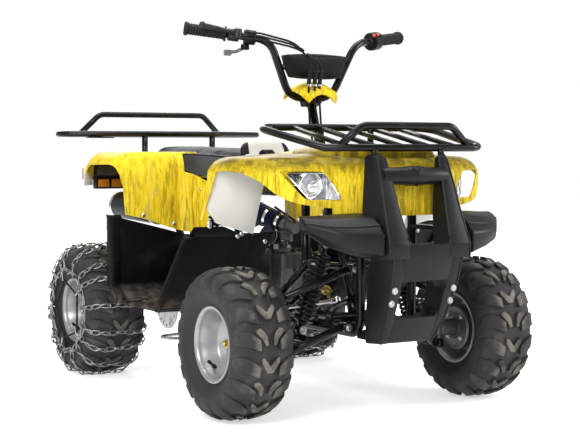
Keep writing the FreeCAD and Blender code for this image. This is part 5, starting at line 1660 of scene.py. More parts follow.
rivets = []
for side in SIDES.values():
    for x, z in ((324, 512), (222, 484)):
        rivets.append(dome((side * x, 198 if x > 300 else 195, z), -Y_AXIS))
    rivets.append(dome((side * 164, 128, 590), X_AXIS * side, 5))
    for x, z in ((386, 512), (287, 481)):
        rivets.append(dome((side * x, -366, z), -Y_AXIS))
dress(join(rivets, "panel_rivets"), zinc, "chassis")


# %% [markdown]
# The bumper is one black moulding. Its posts, legs and wings are drawn through sections at the
# measured heights, the window corners get rounded fillets, and a bead follows the front edges.
# %% Bumper
# Height, then X of the outer side, the ridge and the inner side, then Y of the rear and the front.
BUMPER_POST = [(700, 122, 112, 92, -742, -762), (690, 128, 108, 84, -735, -771),
               (625, 133, 113, 79, -738, -796), (560, 138, 117, 74, -740, -818),
               (469, 150, 125, 63, -760, -854), (434, 150, 126, 60, -765, -850)]
BUMPER_LEG = [(440, 127, 108, 60, -765, -846), (372, 120, 102, 68, -740, -830),
              (278, 112, 92, 68, -715, -792), (205, 106, 80, 58, -705, -745)]


def bumper_column(levels, inner_step):
    rings = []
    for z, outer, ridge, inner, rear, front in levels:
        inner_rear = rear - inner_step
        rings.append([(-outer, rear, z), (-ridge, front, z), (-inner, front, z), (-inner, inner_rear, z)])
    return skin("column", rings)


def cross_piece(name, levels, edge):
    # A wide bar across the middle through levels of (height, rear, front).
    rings = [[(-75, rear, z), (-75, front, z), (75, front, z), (75, rear, z)] for z, rear, front in levels]
    return soften(skin(name, rings), edge, 3, 24)


def window_corner(x, z, out, up, front, rear, radius=22):
    # A concave fillet that rounds one corner of a bumper window.
    outline = [(x, z)]
    for i in range(7):
        turn = math.pi / 2 * i / 6
        outline.append((x + out * radius * (1 - math.sin(turn)), z + up * radius * (1 - math.cos(turn))))
    return drawn("corner", outline, 1, front, rear)


WING = {-138: [(-735, 550), (-800, 542), (-830, 520), (-850, 496), (-850, 446), (-800, 430), (-735, 436)],
        -200: [(-728, 549), (-788, 538), (-812, 516), (-832, 498), (-828, 460), (-785, 446), (-728, 452)],
        -250: [(-722, 546), (-770, 534), (-792, 517), (-806, 502), (-800, 474), (-768, 463), (-722, 470)],
        -304: [(-700, 545), (-722, 536), (-733, 526), (-738, 519), (-734, 510), (-722, 506), (-700, 514)]}
one_side = [bumper_column(BUMPER_POST, 14), bumper_column(BUMPER_LEG, 0)]
one_side.append(skin("wing", [[(x, y, z) for y, z in section] for x, section in WING.items()]))
one_side.append(window_corner(-63, 468, 1, 1, -851, -792))
one_side.append(window_corner(-68, 375, 1, -1, -828, -772))
one_side.append(window_corner(-68, 277, 1, 1, -790, -742))
pieces = [soften(piece, 5, 3, 24) for piece in one_side]
pieces += [mirrored(piece) for piece in pieces]
pieces.append(cross_piece("waist", ((470, -790, -852), (432, -765, -848), (373, -770, -829)), 5))
pieces.append(cross_piece("chin", ((279, -740, -791), (240, -722, -768), (205, -705, -745)), 9))
roll = [(-100, 0), (-100, 19), (-94, 22), (-40, 23), (-16, 26), (16, 26), (40, 23), (94, 22), (100, 19),
        (100, 0)]
pieces.append(spun("roll", roll, (0, -775, 644), X_AXIS, 32))
beads = [([(0, -800.5, 650), (0, -797, 628), (0, -786, 618)], 2.2)]
for side in SIDES.values():
    beads.append(([(side * (ridge + 1), front + 1, z) for z, _, ridge, _, _, front in BUMPER_POST[1:]], 2.6))
    beads.append(([(side * inner, front + 2, z) for z, _, _, inner, _, front in BUMPER_POST[1:5]], 2.2))
    beads.append(([(side * (ridge + 1), front + 1, z) for z, _, ridge, _, _, front in BUMPER_LEG], 2.6))
    wing_edge = ((140, -829, 521), (200, -811, 517), (250, -791, 518), (303, -732, 527))
    beads.append(([(side * x, y, z) for x, y, z in wing_edge], 2.4))
    beads.append(([(0, -800.5, 648), (side * 10, -797, 660), (side * 12, -786, 669)], 2.2))
pieces += [rod("bead", line, radius, 0, 3) for line, radius in beads]
dress(join(pieces, "moulded_bumper"), bumper_black, "chassis", ["front_bumper"])
for side in SIDES.values():
    for z, y in ((352, -826), (318, -811)):
        bolt("chassis", (side * 92, y, z), -Y_AXIS, 11, 5)


# %% [markdown]
# Each footwell is a bent sheet moulding: front wall, floor, rear wall and an inner side wall,
# with a rolled outer rim, a turned-back flange at the rear and treads on the floor.
# %% Footwells
WELL_INNER = 150
WELL_OUTER = 430
WELL_SECTION = [(-362, 500), (-330, 476), (-300, 476), (-108, FOOTWELL_Z), (160, FOOTWELL_Z), (209.6, 300),
                (209.6, 520)]
WALL_TOP = 440
JAMB = ((392, 208), (426, 190), (431, 194), (432, 232), (427, 232), (426, 198), (392, 213))


def footwell(side, route):
    # The bent sheet, with its front and rear edges cut to slope down inwards.
    well = open_sheet("well", [[(side * x, y, z) for y, z in route] for x in (WELL_INNER, WELL_OUTER)])
    modify(well, "SOLIDIFY", thickness=4 * MM, offset=1 if side == RIGHT else -1)
    clean(well)
    top_front = [(side * x, z) for x, z in ((140, 472), (250, 472), (440, 536), (440, 620), (140, 620))]
    cut(well, drawn("top", top_front, 1, -400, -305))
    top_rear = [(side * x, z) for x, z in ((140, 446), (180, 450), (440, 516), (440, 620), (140, 620))]
    cut(well, drawn("top", top_rear, 1, 196, 224))
    return soften(well, 1.6, 2, 30)


route = [(p.y, p.z) for p in rounded_route([(0, y, z) for y, z in WELL_SECTION], 22, 4)]
for name, side in SIDES.items():
    wells = [footwell(side, route)]
    below = [(y, z + 2) for y, z in route if z < WALL_TOP]
    outline = [(-268, WALL_TOP)] + below + [(207, WALL_TOP)]
    wall = drawn("inner", outline, 0, side * WELL_INNER, side * (WELL_INNER + 4))
    wells.append(soften(wall, 1.4, 2, 30))
    jamb = [[(side * x, y + shift, z) for x, y in JAMB]
            for z, shift in ((262, -46), (300, 0), (506, 0), (514, 8))]
    wells.append(soften(skin("jamb", jamb), 2.5, 3, 30))
    rim = [(side * (WELL_OUTER - 6), y, z) for y, z in route if y < 175]
    wells.append(rod("rim", rim[1:], 7, 0, 5))
    for i in range(6):
        for j in range(5):
            place = (side * (196 + 44 * j + 22 * (i % 2)), -82 + 42 * i, FOOTWELL_Z + 3.8)
            wells.append(spun("peg", [(0, 0), (0, 7), (4, 4.6), (4, 0)], place, Z_AXIS, 12, 50))
    for x in (204, 260, 316):
        wells.append(rod("ridge", [(side * x, -292, 471), (side * x, -118, 271.5)], 3.4, 0, 3))
    dress(join(wells, f"moulded_footwell_{name}"), footwell_black, "chassis", [f"footwell_{name}"])
rivets = []
for side in SIDES.values():
    for x in (386, 300, 214):
        drop = (440 - x) * 0.34 if x > 250 else 64
        rivets.append(dome((side * x, -366.5, 536 - drop - 14), -Y_AXIS))
dress(join(rivets, "footwell_rivets"), zinc, "chassis")


# %% [markdown]
# A headlamp is a clear bulged lens in a chrome border over a silver housing, with a round
# bowl at the outer side and upright ribs at the inner one.
# %% Headlamps
def lamp_point(side, across, up, offset):
    # A place in a headlamp: across goes outwards along the lens, up along its height.
    facing = lamp_facing(side)
    along = Vector((side * 0.62, 0.77, 0.0)).normalized()
    return on_side(side, LAMP_MIDDLE) + along * across + Z_AXIS * up + facing * offset


lenses, borders, housings, bowls = [], [], [], []
for side in SIDES.values():
    facing = lamp_facing(side)
    bulge = ((-12, -1.5), (-1, -1.5), (3, -5), (7, -14), (10, -28), (11, -44))
    lenses.append(smooth(skin("lens", [lamp_ring(side, *level) for level in bulge]), 50))
    borders.append(rod("border", lamp_ring(side, 0.5, -2), 2.6, 0, 4, closed=True))
    hollow = ((-13, -2), (-30, -9), (-40, -20), (-42, -52))
    cup = skin("cup", [lamp_ring(side, *level) for level in hollow], capped=False)
    modify(cup, "SOLIDIFY", thickness=1.5 * MM, offset=0)
    housings.append(smooth(cup, 40))
    bowl = [(0, 0), (0, 5), (-6, 14), (-2, 19), (4, 23), (10, 26), (16, 28), (16, 30.5), (8, 29.5), (-9, 16),
            (-9, 0)]
    bowls.append(spun("bowl", bowl, lamp_point(side, 18, 3, -30), facing, 36, 50))
    bulb = [(0, 0), (0, 6), (12, 6), (17, 3.5), (18, 0)]
    bowls.append(spun("bulb", bulb, lamp_point(side, 18, 3, -32), facing, 20, 50))
    for across in (-22, -30, -38, -46, -54):
        low, high = lamp_point(side, across, -24, -24), lamp_point(side, across + 5, 20, -24)
        bowls.append(rod("rib", [low, high], 2.4, 0, 3))
dress(join(lenses, "lamp_lenses"), clear_lens, "chassis", ["headlamps"])
dress(join(borders, "lamp_borders"), chrome, "chassis")
dress(join(housings, "lamp_housings"), reflector, "chassis")
dress(join(bowls, "lamp_bowls"), reflector, "chassis")

# %% [markdown]
# The tail lamps sit in black housings under the tail: a clear pane over two amber ones, with
# red glass on the rear face. A white flap closes the corner beside each.
# %% Tail lamps
def crate(side, low, high, edge):
    # A smooth block given for the left side, or its counterpart on the right one.
    low_x, high_x = sorted((side * low[0], side * high[0]))
    return smooth(block("crate", (low_x, *low[1:]), (high_x, *high[1:]), edge))


backs, panes, ambers, reds, corners = [], [], [], [], []
for side in SIDES.values():
    backs.append(crate(side, (200, 628, 582), (302, 652, 664), 4))
    backs.append(crate(side, (200, 620, 617), (302, 630, 622), 1))
    for x in (203, 251, 299):
        backs.append(crate(side, (x - 3, 620, 584), (x + 3, 630, 620), 1))
    panes.append(crate(side, (206, 620, 624), (297, 629, 658), 4))
    for x in (207, 255):
        ambers.append(crate(side, (x, 621, 588), (x + 40, 629, 614), 2))
    reds.append(crate(side, (250, 652, 612), (330, 675, 652), 3))
    outline = [(side * x, y) for x, y in ((304, 646), (344, 622), (346, 625), (305, 650))]
    corners.append(soften(drawn("flap", outline, 2, 594, 662), 1, 2))
dress(join(backs, "tail_housings"), trim_black, "chassis")
dress(join(panes, "tail_panes"), clear_lens, "chassis")
dress(join(ambers, "tail_ambers"), amber_lens, "chassis")
dress(join(reds, "tail_glass"), red_lens, "chassis", ["tail_lamps"])
dress(join(corners, "tail_flaps"), panel_white, "chassis")

# %% [markdown]
# The seat and the handlebar pad are padded. A slightly smaller form is remeshed and blown up as
# cloth with no gravity; how far each point may move is capped, and nothing moves where it rests.
# %% Padding
CLOTH_STEPS = 20
CLOTH_PRESSURE = 4.0
SIDE_NORMAL = 0.62
PAD_MIDDLE_Z = 950


def puffed(obj, voxel, cap, rest_z, free_z):
    modify(obj, "REMESH", mode="VOXEL", voxel_size=voxel * MM)
    before = [vertex.co.copy() for vertex in obj.data.vertices]
    use(obj)
    cloth = obj.modifiers.new("cloth", "CLOTH")
    cloth.settings.use_pressure = True
    cloth.settings.uniform_pressure_force = CLOTH_PRESSURE
    cloth.settings.effector_weights.gravity = 0
    cloth.point_cache.frame_end = CLOTH_STEPS
    for step in range(1, CLOTH_STEPS + 1):
        bpy.context.scene.frame_set(step)
    bpy.ops.object.modifier_apply(modifier=cloth.name)
    bpy.context.scene.frame_set(1)
    for vertex, start in zip(obj.data.vertices, before):
        share = min(1.0, max(0.0, (start.z / MM - rest_z) / (free_z - rest_z)))
        move = vertex.co - start
        limit = cap * MM * share
        vertex.co = start + (move.normalized() * limit if move.length > limit else move)
    modify(obj, "SUBSURF", levels=1, render_levels=1)
    return smooth(obj, 60)


def on_skin(obj, points, lift):
    # Lays a line of points on the outside of a padded piece.
    laid = []
    for point in points:
        _, place, normal, _ = obj.closest_point_on_mesh(Vector(point) * MM)
        laid.append(place / MM + normal * lift)
    return laid


# Y, half width, then the heights of the top and the low edge.
SEAT_SECTIONS = [(50, 74, 698, 642), (90, 90, 702, 636), (178, 110, 709, 622), (290, 120, 713, 636),
                 (400, 125, 714, 653), (500, 122, 717, 662), (560, 115, 719, 670), (579, 98, 712, 678)]
rings = []
for y, half, top, low in SEAT_SECTIONS:
    side_line = [(half - 8, low), (half - 1, (low + top) / 2 - 6), (half, top - 20), (half * 0.93, top - 8),
                 (half * 0.78, top - 3), (half * 0.4, top - 1)]
    rings.append(full_ring(side_line, y))
seat = puffed(skin("padded_seat", rings), 7, 6, 660, 700)
piping = []
for side in SIDES.values():
    edge = [(side * (half - 3), y, top - 12) for y, half, top, low in SEAT_SECTIONS]
    piping.append(rod("piping", on_skin(seat, edge, 0.6), 2.6, 30, 3))
edge = [(x, 600, 700) for x in (-92, -60, -20, 20, 60, 92)]
piping.append(rod("piping", on_skin(seat, edge, 0.6), 2.6, 0, 3))
dress(seat, [seat_black, seat_grey], "chassis", ["seat"])
for face in seat.data.polygons:
    face.material_index = 1 if abs(face.normal.x) > SIDE_NORMAL else 0
dress(join(piping, "seat_piping"), trim_black, "chassis")

PAD_OUTLINE = [(-80, 918), (-94, 946), (-105, 982), (-60, 984), (0, 984), (60, 984), (105, 982), (94, 946),
               (80, 918), (0, 918)]


def pad_ring(y, size):
    return [(x * size, y, PAD_MIDDLE_Z + (z - PAD_MIDDLE_Z) * size) for x, z in PAD_OUTLINE]


pad_rings = [pad_ring(y, size) for y, size in ((-298, 0.93), (-292, 1.0), (-262, 1.0), (-256, 0.93))]
pad = puffed(skin("pad", pad_rings), 5, 4, 900, 905)
seams = []
for y in (-296, -258):
    line = pad_ring(y, 0.99)
    line.append(line[0])
    seams.append(rod("seam", on_skin(pad, line, 0.2), 1.3, 0, 3))
dress(pad, pad_cover, "steering", ["handlebar_pad"])
dress(join(seams, "pad_seams"), trim_black, "steering")


# %% [markdown]
# The tank cover is drawn through rounded sections from the nose of the seat to the column; the
# ribbed fuel cap stands in its valley. The cover under the pad is a thin arched shell.
# %% Tank cover, cap and handlebar cover
# Y, half width, then the heights of the top and the low edge.
TANK_SECTIONS = [(-376, 104, 712, 640), (-215, 102, 708, 630), (-158, 99, 688, 630), (-140, 97, 682, 630),
                 (-20, 92, 682, 633), (-2, 90, 694, 636), (16, 84, 734, 640), (26, 80, 738, 640),
                 (46, 70, 704, 640)]
rings = []
for y, half, top, low in eased(TANK_SECTIONS, 2):
    line = [(half, low), (half, top - 24), (half * 0.985, top - 17), (half * 0.93, top - 10),
            (half * 0.84, top - 4), (half * 0.7, top - 1), (half * 0.35, top)]
    rings.append(full_ring(line, y))
tank = skin("tank", rings)
cut(tank, bar("hole", [COLUMN_FOOT + COLUMN_AXIS * 330, COLUMN_FOOT + COLUMN_AXIS * 520], 28, 0, 8))
soften(tank, 1.5, 2, 40)
dress(tank, [panel_yellow, tank_white, trim_black], "chassis", ["tank_cover"])
for face in tank.data.polygons:
    centre = face.center / MM
    if centre.y > -2 and centre.z > 655 and (abs(face.normal.x) > 0.5 or abs(centre.x) > 58):
        face.material_index = 2
    elif -14 < centre.y < 20 and centre.z > 686 and face.normal.y < -0.2:
        face.material_index = 1

CAP_PLACE = Vector((-30, -50, 682.3))
profile = [(0, 0), (0, 21), (2, 22), (22, 22), (27, 20), (30, 16), (30, 0)]
cap = [spun("cap", profile, CAP_PLACE, Z_AXIS, 40)]
for y, x in round_places(22, 22):
    foot = CAP_PLACE + Vector((x, y, 3))
    cap.append(rod("rib", [foot, foot + Z_AXIS * 20], 1.9, 0, 3))
dress(join(cap, "ribbed_cap"), trim_black, "chassis", ["fuel_cap"])

# Y, height and half width.
COVER_SECTIONS = [(-322, 870, 44), (-316, 881, 54), (-292, 902, 67), (-262, 908, 70), (-235, 908, 70),
                  (-206, 894, 62), (-195, 884, 56)]
COVER_STEPS = [-1, -0.86, -0.66, -0.44, -0.22, 0, 0.22, 0.44, 0.66, 0.86, 1]
COVER_DROOP = 25
rows = [[(half * s, y, z - COVER_DROOP * s * s) for s in COVER_STEPS]
        for y, z, half in eased(COVER_SECTIONS, 1)]
cover = open_sheet("arched_cover", rows)
modify(cover, "SOLIDIFY", thickness=4 * MM, offset=-1)
clean(cover)
CABLE_HOLES = ((-38, -308), (-20, -310), (-2, -308))
holes = [bar("hole", [(x, y, 800), (x, y, 960)], 3.8, 0, 4) for x, y in CABLE_HOLES]
cut(cover, join(holes, "holes"))
dress(soften(cover, 1.3, 2, 40), panel_yellow, "steering", ["handlebar_cover"])


# %% [markdown]
# The controls: ribbed grips with flanges, the brake lever in its clamp, the thumb throttle and
# the switch pod with its red button.
# %% Grips and controls
grips = []
for side in SIDES.values():
    start, inward = on_bar(side, 0)
    profile = [(-5, 0), (-5, 15), (-3, 19), (4, 20), (6, 17)]
    for i in range(13):
        profile += [(9 + i * 7.4, 17), (10.4 + i * 7.4, 15.4), (13 + i * 7.4, 15.4), (14.4 + i * 7.4, 17)]
    profile += [(108, 17), (110, 21), (113, 22), (115, 21), (116, 13), (116, 0)]
    grips.append(spun("grip", profile, start, inward, 36, angle=50))
dress(join(grips, "ribbed_grips"), grip_rubber, "steering", ["grips"])

FORWARD = Vector((0, -1, 0.1))
start, inward = on_bar(RIGHT, 120)
pivot = start + inward * 14 + FORWARD * 30
profile = [(0, 11), (0, 16), (2, 17.5), (30, 17.5), (32, 16), (32, 11)]
clamp = [spun("clamp", profile, start, inward, 32)]
clamp.append(rod("arm", [start + inward * 14 + FORWARD * 10, pivot], 8, 0, 4))
profile = [(-12, 0), (-12, 11), (-10, 12.5), (10, 12.5), (12, 11), (12, 0)]
clamp.append(spun("eye", profile, pivot, Z_AXIS, 28))
barrel = start + inward * 34 + FORWARD * 26
clamp.append(spun("barrel", [(0, 0), (0, 8), (10, 8), (10, 6), (22, 6), (22, 3)], barrel, inward, 24))
for near in (11, 14, 17, 20):
    profile = [(near, 5), (near, 7), (near + 1.5, 7), (near + 1.5, 5)]
    clamp.append(spun("ring", profile, barrel, inward, 24))
blade = [pivot, start - inward * 20 + FORWARD * 42, start - inward * 60 + FORWARD * 50 + Z_AXIS * 3,
         start - inward * 96 + FORWARD * 52 + Z_AXIS * 6]
clamp.append(rod("blade", blade, 5.5, 30, 5))
profile = [(-9, 0), (-8, 4), (-4.5, 7.8), (0, 9), (4.5, 7.8), (8, 4), (9, 0)]
clamp.append(spun("tip", profile, blade[-1], inward, 24, 60))
dress(join(clamp, "brake_clamp"), dark_alloy, "steering", ["brake_lever"])
bolt("steering", pivot + Z_AXIS * 12, Z_AXIS, 9, 5)

start, inward = on_bar(RIGHT, 166)
profile = [(0, 11), (0, 19), (3, 21), (30, 21), (34, 18), (34, 11)]
body = [spun("body", profile, start, inward, 32)]
low = start + inward * 8 + Vector((0, 10, -28))
body.append(rod("stem", [start + inward * 14, low], 8, 0, 4))
body.append(spun("knuckle", [(-8, 0), (-8, 11), (-6, 12), (6, 12), (8, 11), (8, 0)], low, Z_AXIS, 24))
dress(join(body, "throttle_body"), trim_black, "steering", ["throttle"])
thumb = [low, low + Vector((-20, 12, -12)), low + Vector((-46, 16, -16))]
paddle = [rod("thumb", thumb, 5, 20, 4)]
paddle.append(soften(block("blade", thumb[2] - Vector((14, 4, 9)), thumb[2] + Vector((10, 3, 8)), 3), 1))
dress(join(paddle, "throttle_paddle"), paddle_grey, "steering")

start, inward = on_bar(LEFT, 120)
profile = [(0, 11), (0, 23), (3, 26.5), (18, 27), (18.6, 26), (19.4, 26), (20, 27), (37, 26.5), (40, 23),
           (40, 11)]
pod = [spun("pod", profile, start, inward, 40)]
collar_at = on_bar(LEFT, 162)[0]
pod.append(spun("collar", [(0, 11), (0, 16), (9, 16), (11, 11)], collar_at, inward, 28))
dress(join(pod, "pod_shell"), trim_black, "steering", ["switch_pod"])
face_out = Vector((-0.25, -0.75, 0.6)).normalized()
buttons = []
for along, radius, height in ((9, 6, 31), (28, 5, 29.5)):
    place = start + inward * along
    profile = [(22, 0), (22, radius), (height - 1, radius), (height, radius - 1), (height, 0)]
    buttons.append(spun("button", profile, place, face_out, 24))
dress(join(buttons, "pod_buttons"), button_red, "steering")

# %% [markdown]
# The engine lies between the lower rails: a case with two round covers, a finned cylinder and
# its head, all softened like sand castings. Cover screws run round each cover.
# %% Engine
case_outline = [(-20, 300), (-20, 380), (20, 420), (180, 420), (215, 380), (215, 270), (160, 240), (10, 240)]
castings = [soften(drawn("case", case_outline, 0, -94.5, 94.5), 9, 4, 20)]
castings.append(soften(block("barrel", (-39, -125, 313), (39, -12, 391)), 12, 3))
castings.append(soften(block("head", (-50, -175, 300), (50, -118, 410)), 9, 3))
for i in range(6):
    y = -36.5 - 15 * i
    castings.append(soften(block("fin", (-58, y - 2, 298), (58, y + 2, 410)), 1.2, 2))
for x in (-54, -27, 0, 27, 54):
    castings.append(soften(block("fin", (x - 2, -171, 408), (x + 2, -124, 419)), 1.2, 2))
for side, centre, radius, width in ((RIGHT, (120, 325), 62, 13.5), (LEFT, (110, 330), 70, 13.5)):
    place = Vector((side * 94, *centre))
    profile = [(0, 0), (0, radius), (width - 6, radius), (width - 2, radius - 4), (width, radius - 14),
               (width - 3, radius - 20), (width - 3, radius - 34), (width, radius - 38), (width, 0)]
    castings.append(spun("cover", profile, place, X_AXIS * side, 56, angle=40))
    for z, y in round_places(7, radius - 3, 0.5):
        spot = place + Vector((side * 6, y, z))
        castings.append(spun("boss", [(0, 0), (0, 7), (7, 6), (7, 0)], spot, X_AXIS * side, 18))
        bolt("chassis", spot + X_AXIS * (side * 7), X_AXIS * side, 8, 4)
for x in (-60, -30, 0, 30, 60):
    castings.append(soften(block("rib", (x - 2, -10, 236), (x + 2, 160, 244)), 1, 2))
dress(join(castings, "engine_castings"), cast_alloy, "chassis", ["engine"])
for x in (-30, 30):
    for z in (318, 392):
        bolt("chassis", (x, -175, z), -Y_AXIS, 10, 6)
plug = [spun("plug", [(0, 0), (0, 8), (16, 8), (16, 11), (34, 11), (36, 8), (40, 6), (40, 0)],
             (52, -148, 356), Vector((1, -0.5, 0.35)), 24)]
lead = [(84, -164, 367), (96, -172, 380), (88, -150, 440), (40, -90, 500), (-10, -60, 540)]
plug.append(rod("lead", lead, 3.6, 40, 4))
dress(join(plug, "ignition_lead"), grip_rubber, "chassis")


# %% [markdown]
# The carburettor hangs on a short bent pipe with its float bowl below and a round cap above,
# and breathes through a pleated cone filter held by two bright bands.
# %% Carburettor and filter
parts = [rod("pipe", [(-30, -146, 411), (-30, -146, 426), (-44, -172, 478)], 13, 20, 6)]
parts.append(spun("flange", [(0, 0), (0, 24), (7, 24), (7, 0)], (-30, -146, 410.5), Z_AXIS, 32))
BODY_AXIS = (Vector((-62, -166, 500)) - Vector((-36, -236, 484))).normalized()
throat = [(0, 0), (0, 18), (10, 20), (14, 17), (30, 17), (34, 22), (46, 22), (50, 18), (64, 18), (66, 20),
          (76, 20), (76, 0)]
parts.append(spun("throat", throat, (-36, -236, 484), BODY_AXIS, 36))
bowl = [(0, 0), (0, 12), (4, 18), (22, 19), (24, 22), (28, 22), (30, 17), (58, 17), (60, 14), (60, 0)]
parts.append(spun("bowl", bowl, (-48, -200, 446), Z_AXIS, 36))
parts.append(spun("top", [(0, 0), (0, 9), (6, 9), (8, 5), (22, 4), (24, 0)], (-48, -200, 505), Z_AXIS, 24))
parts.append(rod("drain", [(-48, -200, 450), (-52, -204, 436)], 5, 0, 4))
dress(join(parts, "carburettor_body"), cast_alloy, "chassis", ["carburettor"])
for across in (-14, 14):
    bolt("chassis", (-48 + across, -200, 448), -Z_AXIS, 7, 4)

FILTER_START = Vector((-54, -184, 497))
FILTER_AXIS = (Vector((-104, -86, 532)) - FILTER_START).normalized()
FILTER_ENDS = ([(0, 0), (0, 21), (4, 24), (20, 24), (24, 27), (24, 0)],
               [(80, 0), (80, 33), (84, 35), (90, 34), (92, 30), (92, 0)])
ends = [spun("end", profile, FILTER_START, FILTER_AXIS, 36) for profile in FILTER_ENDS]
pleats = []
for i in range(64):
    turn = math.tau * i / 64
    radius = 31 if i % 2 else 25
    pleats.append((radius * math.cos(turn), radius * math.sin(turn)))
star = skin("filter_pleats", [[(along, y * size, z * size) for y, z in pleats]
                              for along, size in ((22, 0.92), (52, 0.99), (82, 1.06))])
star.data.transform(frame_to(FILTER_START, FILTER_AXIS))
dress(star, filter_blue, "chassis")
dress(join(ends, "filter_ends"), grip_rubber, "chassis")
bands = []
for along, radius in ((10, 24.6), (50, 30.6), (84, 35.4)):
    place = FILTER_START + FILTER_AXIS * along
    profile = [(-4, radius - 2), (-4, radius), (4, radius), (4, radius - 2)]
    bands.append(spun("band", profile, place, FILTER_AXIS, 48, angle=40))
dress(join(bands, "filter_bands"), chrome, "chassis")


# %% [markdown]
# The pipe leaves the head, turns back under the case and climbs to the silencer.
# %% Exhaust
EXHAUST_ROUTE = [(-30, -147, 299.7), (-30, -147, 258), (-128, -147, 254), (-128, 170, 254), (-128, 262, 360),
                 (-190, 262, 500), (-240, 300, 520)]
pipe = [rod("pipe", EXHAUST_ROUTE, 11, 36, 7)]
can_start = Vector((-240, 256, 520))
can_axis = (Vector((-264, 524, 533)) - can_start).normalized()
can_length = 269.4
shell = [(0, 0), (0, 16), (3, 30), (9, 40), (16, 42), (can_length - 16, 42), (can_length - 8, 40),
         (can_length - 2, 30), (can_length, 17), (can_length, 0)]
pipe.append(spun("can", shell, can_start, can_axis, 56))
pipe.append(spun("flange", [(-3, 0), (-3, 20), (3, 20), (3, 0)], EXHAUST_ROUTE[0], Z_AXIS, 32))
dress(join(pipe, "exhaust_system"), exhaust_black, "chassis", ["exhaust"])
rings = []
for along in (14, can_length - 20):
    profile = [(-5, 40.5), (-5, 43), (-3, 43.6), (3, 43.6), (5, 43), (5, 40.5)]
    rings.append(spun("ring", profile, can_start + can_axis * along, can_axis, 56, angle=40))
tail_pipe = can_start + can_axis * (can_length - 4)
rings.append(spun("spout", [(0, 9), (0, 11), (18, 11), (18, 9)], tail_pipe, can_axis, 32, angle=40))
dress(join(rings, "silencer_rings"), chrome, "chassis")
hanger = [can_start + can_axis * 140 + Z_AXIS * 40, (-214, 396, 598), (-180, 396, 604)]
dress(bar("bracket", hanger, 6, 20, 4), frame_black, "chassis")


# %% [markdown]
# Behind the front wheel sit a few small parts that the picture shows between the tubes: the
# starter motor with its bright end band, the ignition coil, a fuel tap and the clear fuel bottle.
# %% Small parts
STARTER_PLACE = (-84, -150, 461)
STARTER_AXIS = Vector((0.75, 0.6, -0.05))
profile = [(0, 0), (0, 22), (4, 27), (70, 27), (76, 24), (80, 10), (80, 0)]
motor = [spun("motor", profile, STARTER_PLACE, STARTER_AXIS, 40)]
motor.append(rod("stay", [(-60, -132, 440), (-58, -128, 418), (-40, -112, 404)], 5, 10, 4))
dress(join(motor, "starter_motor"), dark_alloy, "chassis")
profile = [(4, 26), (4, 28.2), (11, 28.2), (11, 26)]
band = spun("starter_band", profile, STARTER_PLACE, STARTER_AXIS, 40)
dress(band, chrome, "chassis")
coil = [soften(block("coil", (-92, -302, 372), (-56, -266, 416)), 4, 2)]
for i in range(5):
    coil.append(spun("wind", [(0, 0), (0, 17), (5, 17), (5, 0)], (-74, -284, 378 + 8 * i), Z_AXIS, 28))
coil.append(rod("stay", [(-74, -284, 374), (-74, -300, 352), (-70, -310, 340)], 5, 10, 4))
dress(join(coil, "ignition_coil"), engine_black, "chassis")
tap = [spun("tap", [(0, 0), (0, 9), (12, 9), (12, 13), (22, 13), (22, 7), (34, 6), (34, 0)],
            (-46, -396, 318), Vector((0.2, -1, 0)), 24)]
tap.append(rod("spigot", [(-40, -424, 318), (-48, -432, 300)], 4, 0, 4))
tap.append(rod("stay", [(-46, -398, 318), (-60, -380, 318), (-RAIL_X, DOWN_TUBE_Y, 318)], 4, 8, 4))
dress(join(tap, "brass_fitting"), gold_zinc, "chassis")
bottle = soften(block("bottle", (-104, -66, 480), (-62, -30, 572)), 12, 4)
neck = spun("neck", [(0, 0), (0, 12), (12, 12), (12, 0)], (-84, -48, 570), Z_AXIS, 24)
dress(join([bottle, neck], "fluid_bottle"), bottle_plastic, "chassis")
hose = [(-84, -48, 482), (-84, -50, 462), (-70, -60, 440), (-40, -80, 420), (-20, -90, 404)]
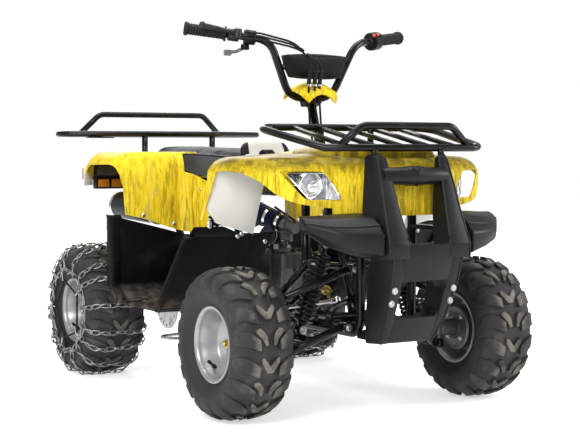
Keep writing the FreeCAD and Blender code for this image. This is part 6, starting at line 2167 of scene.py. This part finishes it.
dress(rod("fluid_hose", hose, 4, 30, 4), grip_rubber, "chassis")


# %% [markdown]
# Three control cables run from the right-hand controls down into the yellow cover and beside the
# column. Black sleeves with bright collars protect them where they enter the cover, and one has
# an adjuster in the middle.
# %% Control cables
# The rise of each cable at the clamp, then X and Y where it passes the column.
CABLES = ((10, -19, -283), (2, 0, -302), (-7, 19, -283))
clamp_place, inward = on_bar(RIGHT, 152)
cuffs = []
for n, ((x, y), (rise, low_x, low_y)) in enumerate(zip(CABLE_HOLES, CABLES)):
    start = clamp_place + Vector((0, -30, rise))
    low = Vector((low_x, low_y, 772))
    bow_start, bow_end = Vector((-104, y - 44, 1010 - 7 * n)), Vector((x - 4, y - 22, 955))
    places = [start, start + inward * 46 - Y_AXIS * 8, bow_start, bow_end, Vector((x, y, 905)),
              Vector((x, y, 850)), low, low - COLUMN_AXIS * 54]
    cable = [rod("cable", rounded_route(places, 60), 3, 0, 5)]
    sleeve = [(x, y, 896), (x - 1, y - 5, 918), (x - 2.4, y - 13, 936)]
    cable.append(rod("sleeve", sleeve, 6.2, 14, 5))
    nodes = ["control_cables"] if n == 0 else ()
    dress(join(cable, f"control_cable_{n + 1}"), grip_rubber, "steering", nodes)
    collars = [spun("collar", [(0, 0), (0, 7.4), (5, 7.4), (5, 0)], (x, y, 893), Z_AXIS, 24)]
    if n == 1:
        along = (bow_end - bow_start).normalized()
        place = bow_start + along * 30
        for step in (0, 24):
            profile = [(step - 12, 0), (step - 12, 5), (step, 5), (step, 0)]
            cuffs.append(spun("cuff", profile, place, along, 20))
        profile = [(0, 0), (0, 3.8), (12, 3.8), (12, 0)]
        collars.append(spun("adjuster", profile, place, along, 12))
    dress(join(collars, f"cable_collars_{n + 1}"), chrome, "steering")
dress(join(cuffs, "adjuster_cuffs"), grip_rubber, "steering")


# %% [markdown]
# Last, the bolts that were set along the way are joined to one piece for each body.
# %% Bolts
for body, heads in HARDWARE.items():
    dress(join(heads, f"bolts_{body}"), zinc, body)
